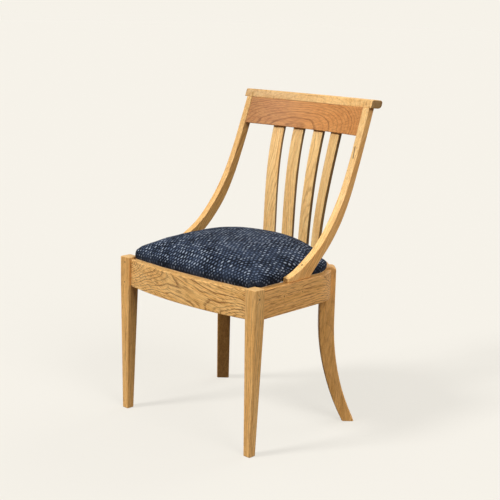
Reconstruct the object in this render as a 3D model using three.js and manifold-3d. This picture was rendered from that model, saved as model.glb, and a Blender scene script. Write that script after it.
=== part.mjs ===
// Oak gondola dining chair: tapered front legs, diagonal sabre rear legs, bowed rails, swept back
// stiles, a curved crest over four slats, and an upholstered pad screwed to corner blocks.
// Millimetres, +Z up, the front faces -Y. The chair is laid out with Y = 0 at the front faces of the
// front legs, and moved at the end so that its origin is on the floor below the middle of its box.
import * as THREE from "three";
import { mergeVertices } from "three/addons/utils/BufferGeometryUtils.js";
import Module from "manifold-3d";

const wasm = await Module();
wasm.setup();

// Fits and cuts
const GAP = 0.3; // between pieces that touch
const OVERRUN = 3; // how far a cut, or a stub that is fused on, runs past a face
const WELD = 1e-4; // vertices closer than this are one
const degrees = THREE.MathUtils.degToRad;

// Front legs
const FRONT_WIDTH = 512; // across the outer faces
const LEG_SIZE = 35;
const LEG_PROUD = 6; // leg tops above the rails
const LEG_ARRIS = 2.5;
const FRONT_FOOT = 22;
const FRONT_FOOT_INWARD = 1; // how far the foot's middle stands in from the leg's
const FRONT_FOOT_FORWARD = 6.5;

// Seat rails
const RAIL_TOP = 429;
const RAIL_HEIGHT = 75;
const RAIL_SHARE = 0.8; // thickness of a rail in front leg sizes
const RAIL_ARRIS = 2;
const FRONT_SETBACK = 8; // front rail behind the legs' front faces, at its ends
const FRONT_BOW = 23; // how far the middle of the front rail comes forward of its ends
const SIDE_SETBACK = 6.5; // side rail inside the front leg's outer face
const SIDE_TOE = degrees(1.7); // side rails draw together towards the back
const SIDE_BEND_RADIUS = 130;
const REAR_RAIL_TURN = degrees(46.7); // half the angle that the rear rail's arc turns through

// Tenons of the rails
const TENON_SHARE = 0.357; // thickness of a tenon in rail thicknesses
const TENON_HEIGHT = 55;
const REAR_TENON = 15;
const TENON_CHEEK = 7; // wood left between a front tenon and the leg's outer face

// Rear legs, which stand on the diagonal
const REAR_INSET = 60; // middle of the leg inside the front legs' outer faces
const REAR_Y = 345;
const REAR_TURN = degrees(45);
const REAR_DEPTH_SHARE = 1.2; // along the diagonal, in front leg sizes
const REAR_WIDTH_SHARE = 1.1; // across it
const REAR_FOOT_DEPTH = 32;
const REAR_FOOT_WIDTH = 36;
const REAR_SWEEP = 69; // how far the foot stands out along the diagonal
const REAR_SWEEP_HEIGHT = 290; // where the sweep begins
const REAR_SETBACK = 13; // rails inside the rear leg's outer face
const REAR_CROWN = 9; // rounding of the top's outer edge
const REAR_ARRIS = 4;
const REAR_TAPER = 1.5; // how late the depth is lost on the way down
const REAR_CROWN_SHARES = [0.35, 0.75, 0.98]; // of the quarter round at the top

// Back stiles
const STILE_WIDTH = 21;
const STILE_INSET = 14; // outer face at the front of the foot, inside the front legs' outer faces
const STILE_AHEAD = 207; // front of the foot before the rear leg's middle
const STILE_TOE = degrees(2.9);
const STILE_FOOT = 83; // length that stands on the rail
const STILE_DEPTH = 24; // at the crest, front to back
const STILE_ARRIS = 2;
// Rows of a stile from foot to crest: run of the front edge, rise, and depth in stile depths.
const STILE_SHARES = [
  [0, 0.034, 4.02],
  [0.086, 0.053, 3.29],
  [0.212, 0.1, 2.56],
  [0.432, 0.214, 1.79],
  [0.62, 0.377, 1.5],
  [0.776, 0.569, 1.18],
  [0.903, 0.791, 1],
  [1, 1, 1],
];
const STILE_TENON = 12; // sides and height of the square stub that enters the cap
const DOWEL_RADIUS = 4;
const DOWEL_LENGTH = 34;
const DOWEL_PLACES = [46, 72]; // behind the front of the stile's foot

// Crest: the board between the stiles and the cap that runs over them
const CREST_BEHIND = 83; // front of the board's lower edge, at the stiles, past the rear leg's middle
const CREST_Z = 779;
const CREST_SAGITTA = 38;
const CREST_LEAN = degrees(20.3);
const CREST_TIP = degrees(4.5); // the arc's plane tips down towards the back
const BOARD_HEIGHT = 78.5;
const BOARD_THICK = 24;
const BOARD_ARRIS = 2;
const BOARD_TENON = 9;
const BOARD_TENON_THICK = 9;
const BOARD_TENON_MARGIN = 14; // shoulder above and below the tenon
const CAP_SAGITTA = 33; // over the board's width: the cap's arc is flatter than the board's
const CAP_THICK = 23.5;
const CAP_DEPTH = 34;
const CAP_OVERHANG = 5; // past the stiles' outer faces
const CAP_FRONT_ROUND = 5;
const CAP_BACK_ROUND = 8;
const CAP_END_ROUND = 4;
// Stations of a rounded end: way along it, and how far the section has drawn in
const END_SHARES = [
  [0.5, 0.1],
  [0.85, 0.32],
  [1, 0.7],
];

// Slats
const SLAT_WIDTH = 37;
const SLAT_THICK = 10.5;
const SLAT_ARRIS = 1.5;
const SLAT_FOOT_X = [30.5, 88]; // inner and outer pair, at the rear rail
const SLAT_HEAD_X = [36, 103]; // at the crest
const SLAT_HEAD_INSET = 13; // its middle behind the board's front face
const SLAT_FOOT_DEPTH = 14; // in the rear rail
const SLAT_HEAD_DEPTH = 11; // in the board
const SLAT_FOOT_LEAN = degrees(3);
const SLAT_HEAD_LEAN = degrees(17);
const SLAT_REACH = 0.333; // how far each lean carries into the curve

// Upholstered pad
const PLY_THICK = 12;
const PLY_INSET = 3; // the cover wraps this much round the board's edge
const PAD_FRONT_REVEAL = 20; // rail that shows in front of the pad
const PAD_FRONT_BOW = 13;
const PAD_SIDE_SHARE = 0.643; // rail that shows beside the pad, in rail thicknesses
const PAD_BEND_SHARE = 0.5; // the same along the bend to the rear leg
const PAD_CLEAR = 1; // from the legs, stiles and slats
const PAD_CORNER = 7;
const PAD_NOTCH_CORNER = 4;
const PAD_NOTCH_SLANT = 12; // length over which the side turns in to pass a stile
const PAD_TAIL_SHARE = 0.55; // and out again behind it, of the way to the bend
const PAD_SIDE_HEIGHT = 30;
const PAD_BULGE = 3;
const PAD_CROWN = 49; // rise from the edge to the middle
const PAD_FULLNESS = 3.5; // how square the crown's section is
const PAD_MIDDLE_SHARE = 0.58; // middle of the crown on the way back to the rear leg
const PAD_OVAL_POWER = 2.6; // of the crown's oval: 2 is an ellipse, more is squarer
// Rings of the pad's side: rise, and bulge in pad bulges
const PAD_SIDE_SHARES = [
  [0, -0.3],
  [0.3, 0.6],
  [0.6, 1],
  [0.85, 0.4],
  [1, -1],
];
// Rings of the crown: size, and how much of the stiles' notches and of the outline is left
const PAD_CROWN_SHARES = [
  [0.97, 0.8, 0.95],
  [0.91, 0.4, 0.8],
  [0.82, 0.1, 0.5],
  [0.68, 0, 0.2],
  [0.5, 0, 0],
  [0.3, 0, 0],
  [0.1, 0, 0],
];

// Corner blocks and screws
const BLOCK_THICK = 22;
const BLOCK_HEIGHT = 40;
const BLOCK_CORNER_GAP = 8; // between a front block and the leg's corner
const SCREW_RADIUS = 2;
const SCREW_HEAD_RADIUS = 4;
const SCREW_HEAD = 2.5;
const SCREW_TIP = 4;
const SCREW_SINK = 6; // depth of a head below the block's face
const RAIL_SCREW = 28;
const RAIL_SCREW_SPREAD = 14; // from the block's middle
const LEG_SCREW = 38; // the pair, one over the other, passes between the leg's two tenons
const LEG_SCREW_SPREAD = 10; // from the block's mid height
const SEAT_SCREW = 42;
const SEAT_SCREW_ASIDE = 16; // clear of the leg screws

// Facets
const ROUND_STEPS = 3;
const BOW_STEPS = 18;
const BEND_STEPS = 10;
const SLAT_STEPS = 14;
const STILE_STEPS = 26;
const SCREW_SIDES = 10;
const DOWEL_SIDES = 16;
const PAD_STEPS = 5;
const LEAST_TURN = degrees(0.4); // from one point of the pad's crown to the next
const LEAST_MITRE = 0.5; // cosine that limits how far a sharp corner moves
const CORNER_SHARES = [0, 0.5, 1]; // points of a pad corner's arc
// Rows of a front leg's rounded top: how far below the top and how far drawn in, in arrises
const LEG_TOP_SHARES = [
  [1, 0],
  [0.33, 0.25],
  [0, 1],
];

// Values that follow from the sizes
const RAIL_BOTTOM = RAIL_TOP - RAIL_HEIGHT;
const LEG_TOP = RAIL_TOP + LEG_PROUD;
const HALF_WIDTH = FRONT_WIDTH / 2;
const RAIL_THICK = RAIL_SHARE * LEG_SIZE;
const TENON_THICK = TENON_SHARE * RAIL_THICK;
const REAR_DEPTH = REAR_DEPTH_SHARE * LEG_SIZE;
const REAR_WIDTH = REAR_WIDTH_SHARE * LEG_SIZE;
const REAR_X = HALF_WIDTH - REAR_INSET;
const STILE_X = HALF_WIDTH - STILE_INSET;
const STILE_Y = REAR_Y - STILE_AHEAD;
const CREST_Y = REAR_Y + CREST_BEHIND;
const PAD_MIDDLE = PAD_MIDDLE_SHARE * REAR_Y;
const PAD_SIDE_REVEAL = PAD_SIDE_SHARE * RAIL_THICK;
const PAD_BEND_REVEAL = PAD_BEND_SHARE * RAIL_THICK;
const REACH = FRONT_WIDTH; // a cutting block longer than any piece that it trims
const BLOCK_REACH = REACH / 4; // half of a corner block before it is trimmed
const FRONT_HALF = HALF_WIDTH - LEG_SIZE;
const FRONT_RADIUS = (FRONT_HALF ** 2 + FRONT_BOW ** 2) / (2 * FRONT_BOW);
const FRONT_CENTRE_Y = FRONT_SETBACK - FRONT_BOW + FRONT_RADIUS;
const RAIL_MIDDLE = RAIL_THICK / 2;
const SEAT = RAIL_TOP + GAP; // what stands on the rails starts here

const oak = new THREE.MeshStandardMaterial({ color: 0xd39a5c, roughness: 0.55, metalness: 0 });
const redOak = new THREE.MeshStandardMaterial({ color: 0xc68a5a, roughness: 0.55, metalness: 0 });
const plywood = new THREE.MeshStandardMaterial({ color: 0xd8bc8c, roughness: 0.8, metalness: 0 });
const tweed = new THREE.MeshStandardMaterial({ color: 0x2a3142, roughness: 0.95, metalness: 0 });
const steel = new THREE.MeshStandardMaterial({ color: 0xb9b9b5, roughness: 0.35, metalness: 1 });

// Solids and meshes

// A solid of a closed geometry, or with side -1 its mirror image on the chair's left.
function solid(geometry, side = 1) {
  const bare = geometry.clone().scale(side, 1, 1);
  bare.deleteAttribute("normal");
  bare.deleteAttribute("uv");
  const merged = mergeVertices(bare, WELD);
  const triVerts = Uint32Array.from(merged.index.array);
  if (side < 0) triVerts.reverse();
  const vertProperties = merged.attributes.position.array;
  return new wasm.Manifold(new wasm.Mesh({ numProp: 3, vertProperties, triVerts }));
}

const RIGHT = [1];
const BOTH = [1, -1];

function cut(made, geometries, sides = RIGHT) {
  for (const geometry of geometries) {
    for (const side of sides) made = made.subtract(solid(geometry, side));
  }
  return made;
}

function join(made, geometries, sides = RIGHT) {
  for (const geometry of geometries) {
    for (const side of sides) made = made.add(solid(geometry, side));
  }
  return made;
}

function geometryOf(made) {
  const { vertProperties, triVerts } = made.getMesh();
  const shared = new THREE.BufferGeometry();
  shared.setAttribute("position", new THREE.BufferAttribute(vertProperties, 3));
  shared.setIndex(new THREE.BufferAttribute(triVerts, 1));
  const flat = shared.toNonIndexed();
  flat.computeVertexNormals();
  return flat;
}

// A closed skin through rings of equally many points, capped at both ends.
function loft(rings) {
  const count = rings[0].length;
  const points = rings.flat();
  const index = [];
  for (let r = 0; r + 1 < rings.length; r++) {
    for (let i = 0; i < count; i++) {
      const next = (i + 1) % count;
      const [a, b, c, d] = [r * count + i, r * count + next, (r + 1) * count + next, (r + 1) * count + i];
      index.push(a, b, c, a, c, d);
    }
  }
  const ends = [
    [rings[0], 0, true],
    [rings.at(-1), (rings.length - 1) * count, false],
  ];
  for (const [ring, start, first] of ends) {
    const middle = points.length;
    const sum = ring.reduce((total, p) => total.add(p), new THREE.Vector3());
    points.push(sum.divideScalar(count));
    for (let i = 0; i < count; i++) {
      const [a, b] = [start + i, start + ((i + 1) % count)];
      if (first) index.push(middle, b, a);
      else index.push(middle, a, b);
    }
  }
  const geometry = new THREE.BufferGeometry().setFromPoints(points);
  geometry.setIndex(index);
  return geometry;
}

function plate(outline, low, high, arris = 0) {
  const shape = new THREE.Shape(outline);
  const options = {
    depth: high - low - 2 * arris,
    bevelEnabled: arris > 0,
    bevelThickness: arris,
    bevelSize: arris,
    bevelOffset: -arris,
    bevelSegments: ROUND_STEPS - 1,
  };
  return new THREE.ExtrudeGeometry(shape, options).translate(0, 0, low + arris);
}

// A block that fills the space past a vertical plane through a point, on the side of the normal.
function beyond(point, normal) {
  const block = new THREE.BoxGeometry(REACH, 2 * REACH, 2 * REACH);
  block.translate(REACH / 2, 0, REACH);
  block.rotateZ(Math.atan2(normal.y, normal.x));
  return block.translate(point.x, point.y, 0);
}

// Plan helpers

const plan = (x, y) => new THREE.Vector2(x, y);
const along = (point, direction, length) => point.clone().addScaledVector(direction, length);

function arc(centre, radius, from, to, steps) {
  const points = [];
  for (let i = 0; i <= steps; i++) {
    const angle = from + ((to - from) * i) / steps;
    points.push(along(centre, plan(Math.cos(angle), Math.sin(angle)), radius));
  }
  return points;
}

// Angle at which a circle meets a line, at the crossing nearest to the line's point.
function angleAtLine(centre, radius, point, direction) {
  const offset = point.clone().sub(centre);
  const b = offset.dot(direction);
  const root = Math.sqrt(b * b - offset.lengthSq() + radius * radius);
  const reach = Math.abs(root - b) < Math.abs(root + b) ? root - b : -root - b;
  const crossing = along(offset, direction, reach);
  return Math.atan2(crossing.y, crossing.x);
}

function roundedRectangle(width, depth, radius) {
  const points = [];
  const corners = [
    [1, 1],
    [-1, 1],
    [-1, -1],
    [1, -1],
  ];
  corners.forEach(([sx, sy], quarter) => {
    const centre = plan(sx * (width / 2 - radius), sy * (depth / 2 - radius));
    const start = (quarter * Math.PI) / 2;
    points.push(...arc(centre, radius, start, start + Math.PI / 2, ROUND_STEPS));
  });
  return points;
}

// Rear leg's own directions: out along the diagonal, and across it towards the front.
const outward = plan(Math.cos(REAR_TURN), Math.sin(REAR_TURN));
const across = plan(Math.sin(REAR_TURN), -Math.cos(REAR_TURN));
const diagonal = (out, cross) => along(along(plan(REAR_X, REAR_Y), outward, out), across, cross);
const RAIL_OUT = REAR_DEPTH / 2 - REAR_SETBACK; // where the rails' outer faces meet the rear leg

// Tenons: one outline for the stub, grown for its mortise. The two lengths are those of its edges.
function tenonOutline(shoulder, direction, half, lengths, grow) {
  const side = plan(-direction.y, direction.x);
  const edge = half + grow;
  const back = -OVERRUN;
  const [near, far] = lengths;
  return [
    along(along(shoulder, side, -edge), direction, back),
    along(along(shoulder, side, -edge), direction, near + grow),
    along(along(shoulder, side, edge), direction, far + grow),
    along(along(shoulder, side, edge), direction, back),
  ];
}

function tenon(place, grow) {
  const middle = (RAIL_TOP + RAIL_BOTTOM) / 2;
  const half = TENON_HEIGHT / 2 + grow;
  const outline = tenonOutline(place.shoulder, place.direction, TENON_THICK / 2, place.lengths, grow);
  return plate(outline, middle - half, middle + half);
}

// Front rail

function frontRailOutline(inset) {
  const centre = plan(0, FRONT_CENTRE_Y);
  const half = FRONT_HALF + OVERRUN;
  const band = (radius) => Math.asin(half / radius);
  const down = -Math.PI / 2;
  const outer = band(FRONT_RADIUS);
  const inner = band(FRONT_RADIUS - RAIL_THICK - inset);
  return [
    ...arc(centre, FRONT_RADIUS, down - outer, down + outer, BOW_STEPS),
    ...arc(centre, FRONT_RADIUS - RAIL_THICK - inset, down + inner, down - inner, BOW_STEPS),
  ];
}

// Both tenons in a front leg are mitred where they would meet.
function frontTenon() {
  const y = FRONT_SETBACK + RAIL_MIDDLE;
  const shoulder = plan(FRONT_HALF - GAP, y);
  const reach = LEG_SIZE - TENON_CHEEK;
  return { shoulder, direction: plan(1, 0), lengths: [reach, reach - TENON_THICK] };
}

function frontRail() {
  const place = frontTenon();
  const rail = solid(plate(frontRailOutline(0), RAIL_BOTTOM, RAIL_TOP, RAIL_ARRIS));
  const trimmed = cut(rail, [beyond(place.shoulder, place.direction)], BOTH);
  return join(trimmed, [tenon(place, 0)], BOTH);
}

// Side rail: straight from the front leg, then bent in to the rear leg

const sideStart = plan(HALF_WIDTH - SIDE_SETBACK, LEG_SIZE + GAP);
const sideRun = plan(-Math.sin(SIDE_TOE), Math.cos(SIDE_TOE));
const sideIn = plan(-Math.cos(SIDE_TOE), -Math.sin(SIDE_TOE));
const sideEnd = diagonal(RAIL_OUT, REAR_WIDTH / 2 + GAP);
const sideCentre = bendCentre();

// Centre of the bend that is tangent to the straight run and passes through the rail's end.
function bendCentre() {
  const toEnd = along(sideEnd.clone().sub(sideStart), sideIn, -SIDE_BEND_RADIUS);
  const ahead = toEnd.dot(sideRun);
  const run = ahead - Math.sqrt(ahead ** 2 - toEnd.lengthSq() + SIDE_BEND_RADIUS ** 2);
  return along(along(sideStart, sideIn, SIDE_BEND_RADIUS), sideRun, run);
}

function sideEdge(offset, cut) {
  const radius = SIDE_BEND_RADIUS - offset;
  const last = angleAtLine(sideCentre, radius, along(sideEnd, across, -cut), outward);
  const start = along(along(sideStart, sideIn, offset), sideRun, -cut);
  return [start, ...arc(sideCentre, radius, SIDE_TOE, last, BEND_STEPS)];
}

function sideRailOutline(inset) {
  return [...sideEdge(0, OVERRUN), ...sideEdge(RAIL_THICK + inset, OVERRUN).reverse()];
}

function sideFrontTenon() {
  const x = HALF_WIDTH - SIDE_SETBACK - RAIL_MIDDLE;
  const front = frontTenon();
  const mitre = front.shoulder.x + front.lengths[0] - (x + TENON_THICK / 2);
  const depth = LEG_SIZE - front.shoulder.y + TENON_THICK / 2 - GAP;
  const near = depth - mitre;
  return { shoulder: plan(x, sideStart.y), direction: plan(0, -1), lengths: [near - TENON_THICK, near] };
}

function sideRearTenon() {
  const outer = sideEdge(0, 0).at(-1);
  const inner = sideEdge(RAIL_THICK, 0).at(-1);
  const shoulder = outer.clone().add(inner).divideScalar(2);
  return { shoulder, direction: across.clone().negate(), lengths: [REAR_TENON, REAR_TENON] };
}

function sideRail() {
  const back = sideRearTenon();
  const front = sideFrontTenon();
  const rail = solid(plate(sideRailOutline(0), RAIL_BOTTOM, RAIL_TOP, RAIL_ARRIS));
  const ends = [beyond(sideStart, front.direction), beyond(sideEnd, back.direction)];
  return join(cut(rail, ends), [tenon(front, 0), tenon(back, 0)]);
}

// Rear rail: one arc from rear leg to rear leg

const backEnd = diagonal(RAIL_OUT, -REAR_WIDTH / 2 - GAP);
const REAR_RAIL_RADIUS = backEnd.x / Math.sin(REAR_RAIL_TURN);
const backCentre = plan(0, backEnd.y - REAR_RAIL_RADIUS * Math.cos(REAR_RAIL_TURN));

function backAngle(radius, cut) {
  return angleAtLine(backCentre, radius, along(backEnd, across, cut), outward);
}

function rearRailOutline(inset) {
  const band = (radius) => {
    const right = backAngle(radius, OVERRUN);
    return arc(backCentre, radius, right, Math.PI - right, BOW_STEPS);
  };
  return [...band(REAR_RAIL_RADIUS), ...band(REAR_RAIL_RADIUS - RAIL_THICK - inset).reverse()];
}

function rearTenon() {
  const ends = [REAR_RAIL_RADIUS, REAR_RAIL_RADIUS - RAIL_THICK].map((radius) => {
    const angle = backAngle(radius, 0);
    return along(backCentre, plan(Math.cos(angle), Math.sin(angle)), radius);
  });
  const shoulder = ends[0].clone().add(ends[1]).divideScalar(2);
  return { shoulder, direction: across.clone(), lengths: [REAR_TENON, REAR_TENON] };
}

function rearRail() {
  const place = rearTenon();
  const rail = solid(plate(rearRailOutline(0), RAIL_BOTTOM, RAIL_TOP, RAIL_ARRIS));
  const trimmed = cut(rail, [beyond(backEnd, place.direction)], BOTH);
  return cut(join(trimmed, [tenon(place, 0)], BOTH), slats(GAP));
}

// Legs

function frontLeg() {
  const x = HALF_WIDTH - LEG_SIZE / 2;
  const y = LEG_SIZE / 2;
  const rows = [
    [0, FRONT_FOOT, x - FRONT_FOOT_INWARD, y - FRONT_FOOT_FORWARD],
    [RAIL_BOTTOM, LEG_SIZE, x, y],
    ...LEG_TOP_SHARES.map(([below, drawn]) => [
      LEG_TOP - below * LEG_ARRIS,
      LEG_SIZE - 2 * drawn * LEG_ARRIS,
      x,
      y,
    ]),
  ];
  const rings = rows.map(([z, size, cx, cy]) =>
    roundedRectangle(size, size, LEG_ARRIS).map((p) => new THREE.Vector3(cx + p.x, cy + p.y, z)),
  );
  return cut(solid(loft(rings)), [tenon(frontTenon(), GAP), tenon(sideFrontTenon(), GAP)]);
}

// Rows of the sabre leg: height, middle along the diagonal, depth and width.
function rearLegRows() {
  const radius = (REAR_SWEEP_HEIGHT ** 2 + REAR_SWEEP ** 2) / (2 * REAR_SWEEP);
  const rows = [];
  for (let i = 0; i <= BEND_STEPS; i++) {
    const z = (REAR_SWEEP_HEIGHT * i) / BEND_STEPS;
    const below = 1 - i / BEND_STEPS;
    const drop = REAR_SWEEP_HEIGHT - z;
    const out = radius - Math.sqrt(radius ** 2 - drop ** 2);
    const depth = REAR_DEPTH - (REAR_DEPTH - REAR_FOOT_DEPTH) * below ** REAR_TAPER;
    const width = REAR_WIDTH - (REAR_WIDTH - REAR_FOOT_WIDTH) * below;
    rows.push([z, out, depth, width]);
  }
  rows.push([LEG_TOP - REAR_CROWN, 0, REAR_DEPTH, REAR_WIDTH]);
  for (const share of REAR_CROWN_SHARES) {
    const lost = REAR_CROWN * (1 - Math.sqrt(1 - share ** 2));
    const z = LEG_TOP - REAR_CROWN * (1 - share);
    rows.push([z, -lost / 2, REAR_DEPTH - lost, REAR_WIDTH - lost / 2]);
  }
  return rows;
}

function rearLeg() {
  const rings = rearLegRows().map(([z, out, depth, width]) =>
    roundedRectangle(depth, width, REAR_ARRIS).map((p) => {
      const place = diagonal(out + p.x, -p.y);
      return new THREE.Vector3(place.x, place.y, z);
    }),
  );
  return cut(solid(loft(rings)), [tenon(sideRearTenon(), GAP), tenon(rearTenon(), GAP)]);
}

// Crest: a point by its angle along an arc, its distance behind the front face and its height.

const stileInward = plan(-Math.cos(STILE_TOE), -Math.sin(STILE_TOE));
const stileBack = plan(-Math.sin(STILE_TOE), Math.cos(STILE_TOE));
const stileInnerFoot = along(plan(STILE_X, STILE_Y), stileInward, STILE_WIDTH);
const CREST_HALF = stileInnerFoot.x - (CREST_Y - stileInnerFoot.y) * Math.tan(STILE_TOE);
const arcRadius = (half, sagitta) => (half ** 2 + sagitta ** 2) / (2 * sagitta);
const CREST_RADIUS = arcRadius(CREST_HALF, CREST_SAGITTA);
const CAP_RADIUS = arcRadius(CREST_HALF, CAP_SAGITTA);

function crestPoint(angle, depth, height, radius = CREST_RADIUS) {
  const out = radius + depth;
  const behind = out * Math.cos(angle) - radius + CREST_SAGITTA;
  const y = CREST_Y + behind * Math.cos(CREST_TIP) + height * Math.sin(CREST_LEAN);
  const z = CREST_Z - behind * Math.sin(CREST_TIP) + height * Math.cos(CREST_LEAN);
  return new THREE.Vector3(out * Math.sin(angle), y, z);
}

// Carries a profile of depths and heights along an arc of the crest. A rounded end draws it in.
function crestSweep(profile, reachOut, radius = CREST_RADIUS, endRound = 0) {
  const half = Math.asin(reachOut / radius);
  const straight = half - endRound / radius;
  const stations = [];
  for (let i = 0; i <= BOW_STEPS; i++) stations.push([straight * ((2 * i) / BOW_STEPS - 1), 0]);
  for (const [way, drawn] of endRound > 0 ? END_SHARES : []) {
    const angle = straight + (half - straight) * way;
    stations.push([angle, drawn * endRound]);
    stations.unshift([-angle, drawn * endRound]);
  }
  const middle = profile.reduce((sum, p) => sum.add(p), plan(0, 0)).divideScalar(profile.length);
  const reach = Math.max(...profile.map((p) => p.distanceTo(middle)));
  const rings = stations.map(([angle, drawn]) =>
    profile.map((p) => {
      const place = p.clone().lerp(middle, drawn / reach);
      return crestPoint(angle, place.x, place.y, radius);
    }),
  );
  return loft(rings);
}

function crestRectangle(depths, heights, arris) {
  const [near, far] = depths;
  const [low, high] = heights;
  const box = roundedRectangle(far - near, high - low, arris);
  return box.map((p) => plan(p.x + (near + far) / 2, p.y + (low + high) / 2));
}

// One bar that runs through the whole board and sticks out at both ends as its tenons.
function boardTenons(grow) {
  const near = (BOARD_THICK - BOARD_TENON_THICK) / 2 - grow;
  const low = BOARD_TENON_MARGIN - grow;
  const section = crestRectangle([near, BOARD_THICK - near], [low, BOARD_HEIGHT - low], BOARD_ARRIS);
  return crestSweep(section, CREST_HALF + BOARD_TENON + grow);
}

function crestBoard() {
  const section = crestRectangle([0, BOARD_THICK], [0, BOARD_HEIGHT], BOARD_ARRIS);
  const blank = solid(crestSweep(section, CREST_HALF + BOARD_TENON));
  const face = along(stileInnerFoot, stileInward, GAP);
  const trimmed = cut(blank, [beyond(face, stileInward.clone().negate())], BOTH);
  return cut(join(trimmed, [boardTenons(0)]), slats(GAP));
}

function capSection() {
  const low = BOARD_HEIGHT + GAP;
  const high = low + CAP_THICK;
  const quarter = Math.PI / 2;
  const corner = (x, y, radius, start) => arc(plan(x, y), radius, start, start + quarter, ROUND_STEPS);
  const back = CAP_DEPTH - CAP_BACK_ROUND;
  return [
    ...corner(back, high - CAP_BACK_ROUND, CAP_BACK_ROUND, 0),
    ...corner(CAP_FRONT_ROUND, high - CAP_FRONT_ROUND, CAP_FRONT_ROUND, quarter),
    plan(0, low),
    ...corner(back, low + CAP_BACK_ROUND, CAP_BACK_ROUND, -quarter),
  ];
}

function capRail() {
  const outer = CREST_HALF + STILE_WIDTH + CAP_OVERHANG;
  const cap = solid(crestSweep(capSection(), outer, CAP_RADIUS, CAP_END_ROUND));
  return cut(cap, [stileTenon(GAP)], BOTH);
}

// Back stile

const STILE_RUN = CREST_Y - STILE_Y;
const STILE_RISE = CREST_Z - RAIL_TOP;

function stileEdges() {
  const front = [];
  const back = [];
  for (const [run, rise, depth] of STILE_SHARES) {
    const y = run * STILE_RUN;
    const z = RAIL_TOP + rise * STILE_RISE;
    front.push(plan(y, z));
    back.push(plan(y + depth * STILE_DEPTH, z));
  }
  back.unshift(plan(STILE_FOOT, SEAT));
  return [front, back];
}

// Top corners on the cap's underside, which the crest's tip slopes down to the back.
function stileTop() {
  const rise = BOARD_HEIGHT * Math.cos(CREST_LEAN);
  const y = STILE_RUN + BOARD_HEIGHT * Math.sin(CREST_LEAN);
  const front = plan(y, CREST_Z + rise);
  const drop = STILE_DEPTH * Math.tan(CREST_TIP);
  const back = plan(y + STILE_DEPTH - drop * Math.tan(CREST_LEAN), CREST_Z + rise - drop);
  return [front, back];
}

function stileOutline() {
  const [front, back] = stileEdges();
  const [topFront, topBack] = stileTop();
  return [
    plan(0, SEAT),
    ...new THREE.SplineCurve(front).getPoints(STILE_STEPS),
    topFront,
    topBack,
    ...new THREE.SplineCurve(back).getPoints(STILE_STEPS).reverse(),
  ];
}

// Moves a piece drawn in the stile's own plane to its place: X is back, Y is up, Z is outwards.
function placeStile(geometry) {
  const backwards = new THREE.Vector3(stileBack.x, stileBack.y, 0);
  const up = new THREE.Vector3(0, 0, 1);
  const outwards = backwards.clone().cross(up);
  const turn = new THREE.Matrix4().makeBasis(backwards, up, outwards);
  return geometry.applyMatrix4(turn.setPosition(stileInnerFoot.x, stileInnerFoot.y, 0));
}

function stileTenon(grow) {
  const [front, back] = stileTop();
  const side = STILE_TENON + 2 * grow;
  const height = STILE_TENON + grow + OVERRUN;
  const box = new THREE.BoxGeometry(side, height, side).translate(0, height / 2 - OVERRUN, 0);
  box.rotateZ(-CREST_LEAN);
  box.translate((front.x + back.x) / 2, (front.y + back.y) / 2, STILE_WIDTH / 2);
  return placeStile(box);
}

function dowelAt(place, radius, low, high) {
  const middle = along(along(plan(STILE_X, STILE_Y), stileBack, place), stileInward, STILE_WIDTH / 2);
  const pin = new THREE.CylinderGeometry(radius, radius, high - low, DOWEL_SIDES);
  return pin.rotateX(Math.PI / 2).translate(middle.x, middle.y, (low + high) / 2);
}

function dowel(place, grow) {
  const half = DOWEL_LENGTH / 2 + grow;
  return dowelAt(place, DOWEL_RADIUS + grow, RAIL_TOP - half, RAIL_TOP + half);
}

function stileBlank(grow) {
  const options = {
    depth: STILE_WIDTH - 2 * STILE_ARRIS + 2 * grow,
    bevelThickness: STILE_ARRIS,
    bevelSize: STILE_ARRIS,
    bevelOffset: grow - STILE_ARRIS,
    bevelSegments: ROUND_STEPS - 1,
  };
  const blank = new THREE.ExtrudeGeometry(new THREE.Shape(stileOutline()), options);
  return placeStile(blank.translate(0, 0, STILE_ARRIS - grow));
}

function stile() {
  const made = join(solid(stileBlank(0)), [stileTenon(0)]);
  return cut(made, [boardTenons(GAP), ...DOWEL_PLACES.map((place) => dowel(place, GAP))]);
}

// Slats: each follows a curve from the rear rail's middle to its seat under the board

function slatPath(pair, sign) {
  const middle = REAR_RAIL_RADIUS - RAIL_MIDDLE;
  const footTurn = Math.asin(SLAT_FOOT_X[pair] / middle);
  const headTurn = Math.asin(SLAT_HEAD_X[pair] / CREST_RADIUS);
  const foot = new THREE.Vector3(SLAT_FOOT_X[pair], backCentre.y + middle * Math.cos(footTurn), RAIL_TOP);
  const head = crestPoint(headTurn, SLAT_HEAD_INSET, 0);
  const reach = (head.z - foot.z) * SLAT_REACH;
  const footWay = new THREE.Vector3(0, Math.sin(SLAT_FOOT_LEAN), Math.cos(SLAT_FOOT_LEAN));
  const headWay = new THREE.Vector3(0, Math.sin(SLAT_HEAD_LEAN), Math.cos(SLAT_HEAD_LEAN));
  const curve = new THREE.CubicBezierCurve3(
    foot,
    foot.clone().addScaledVector(footWay, reach),
    head.clone().addScaledVector(headWay, -reach),
    head,
  );
  return { curve, footWay, headWay, footTurn, headTurn, sign };
}

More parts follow.
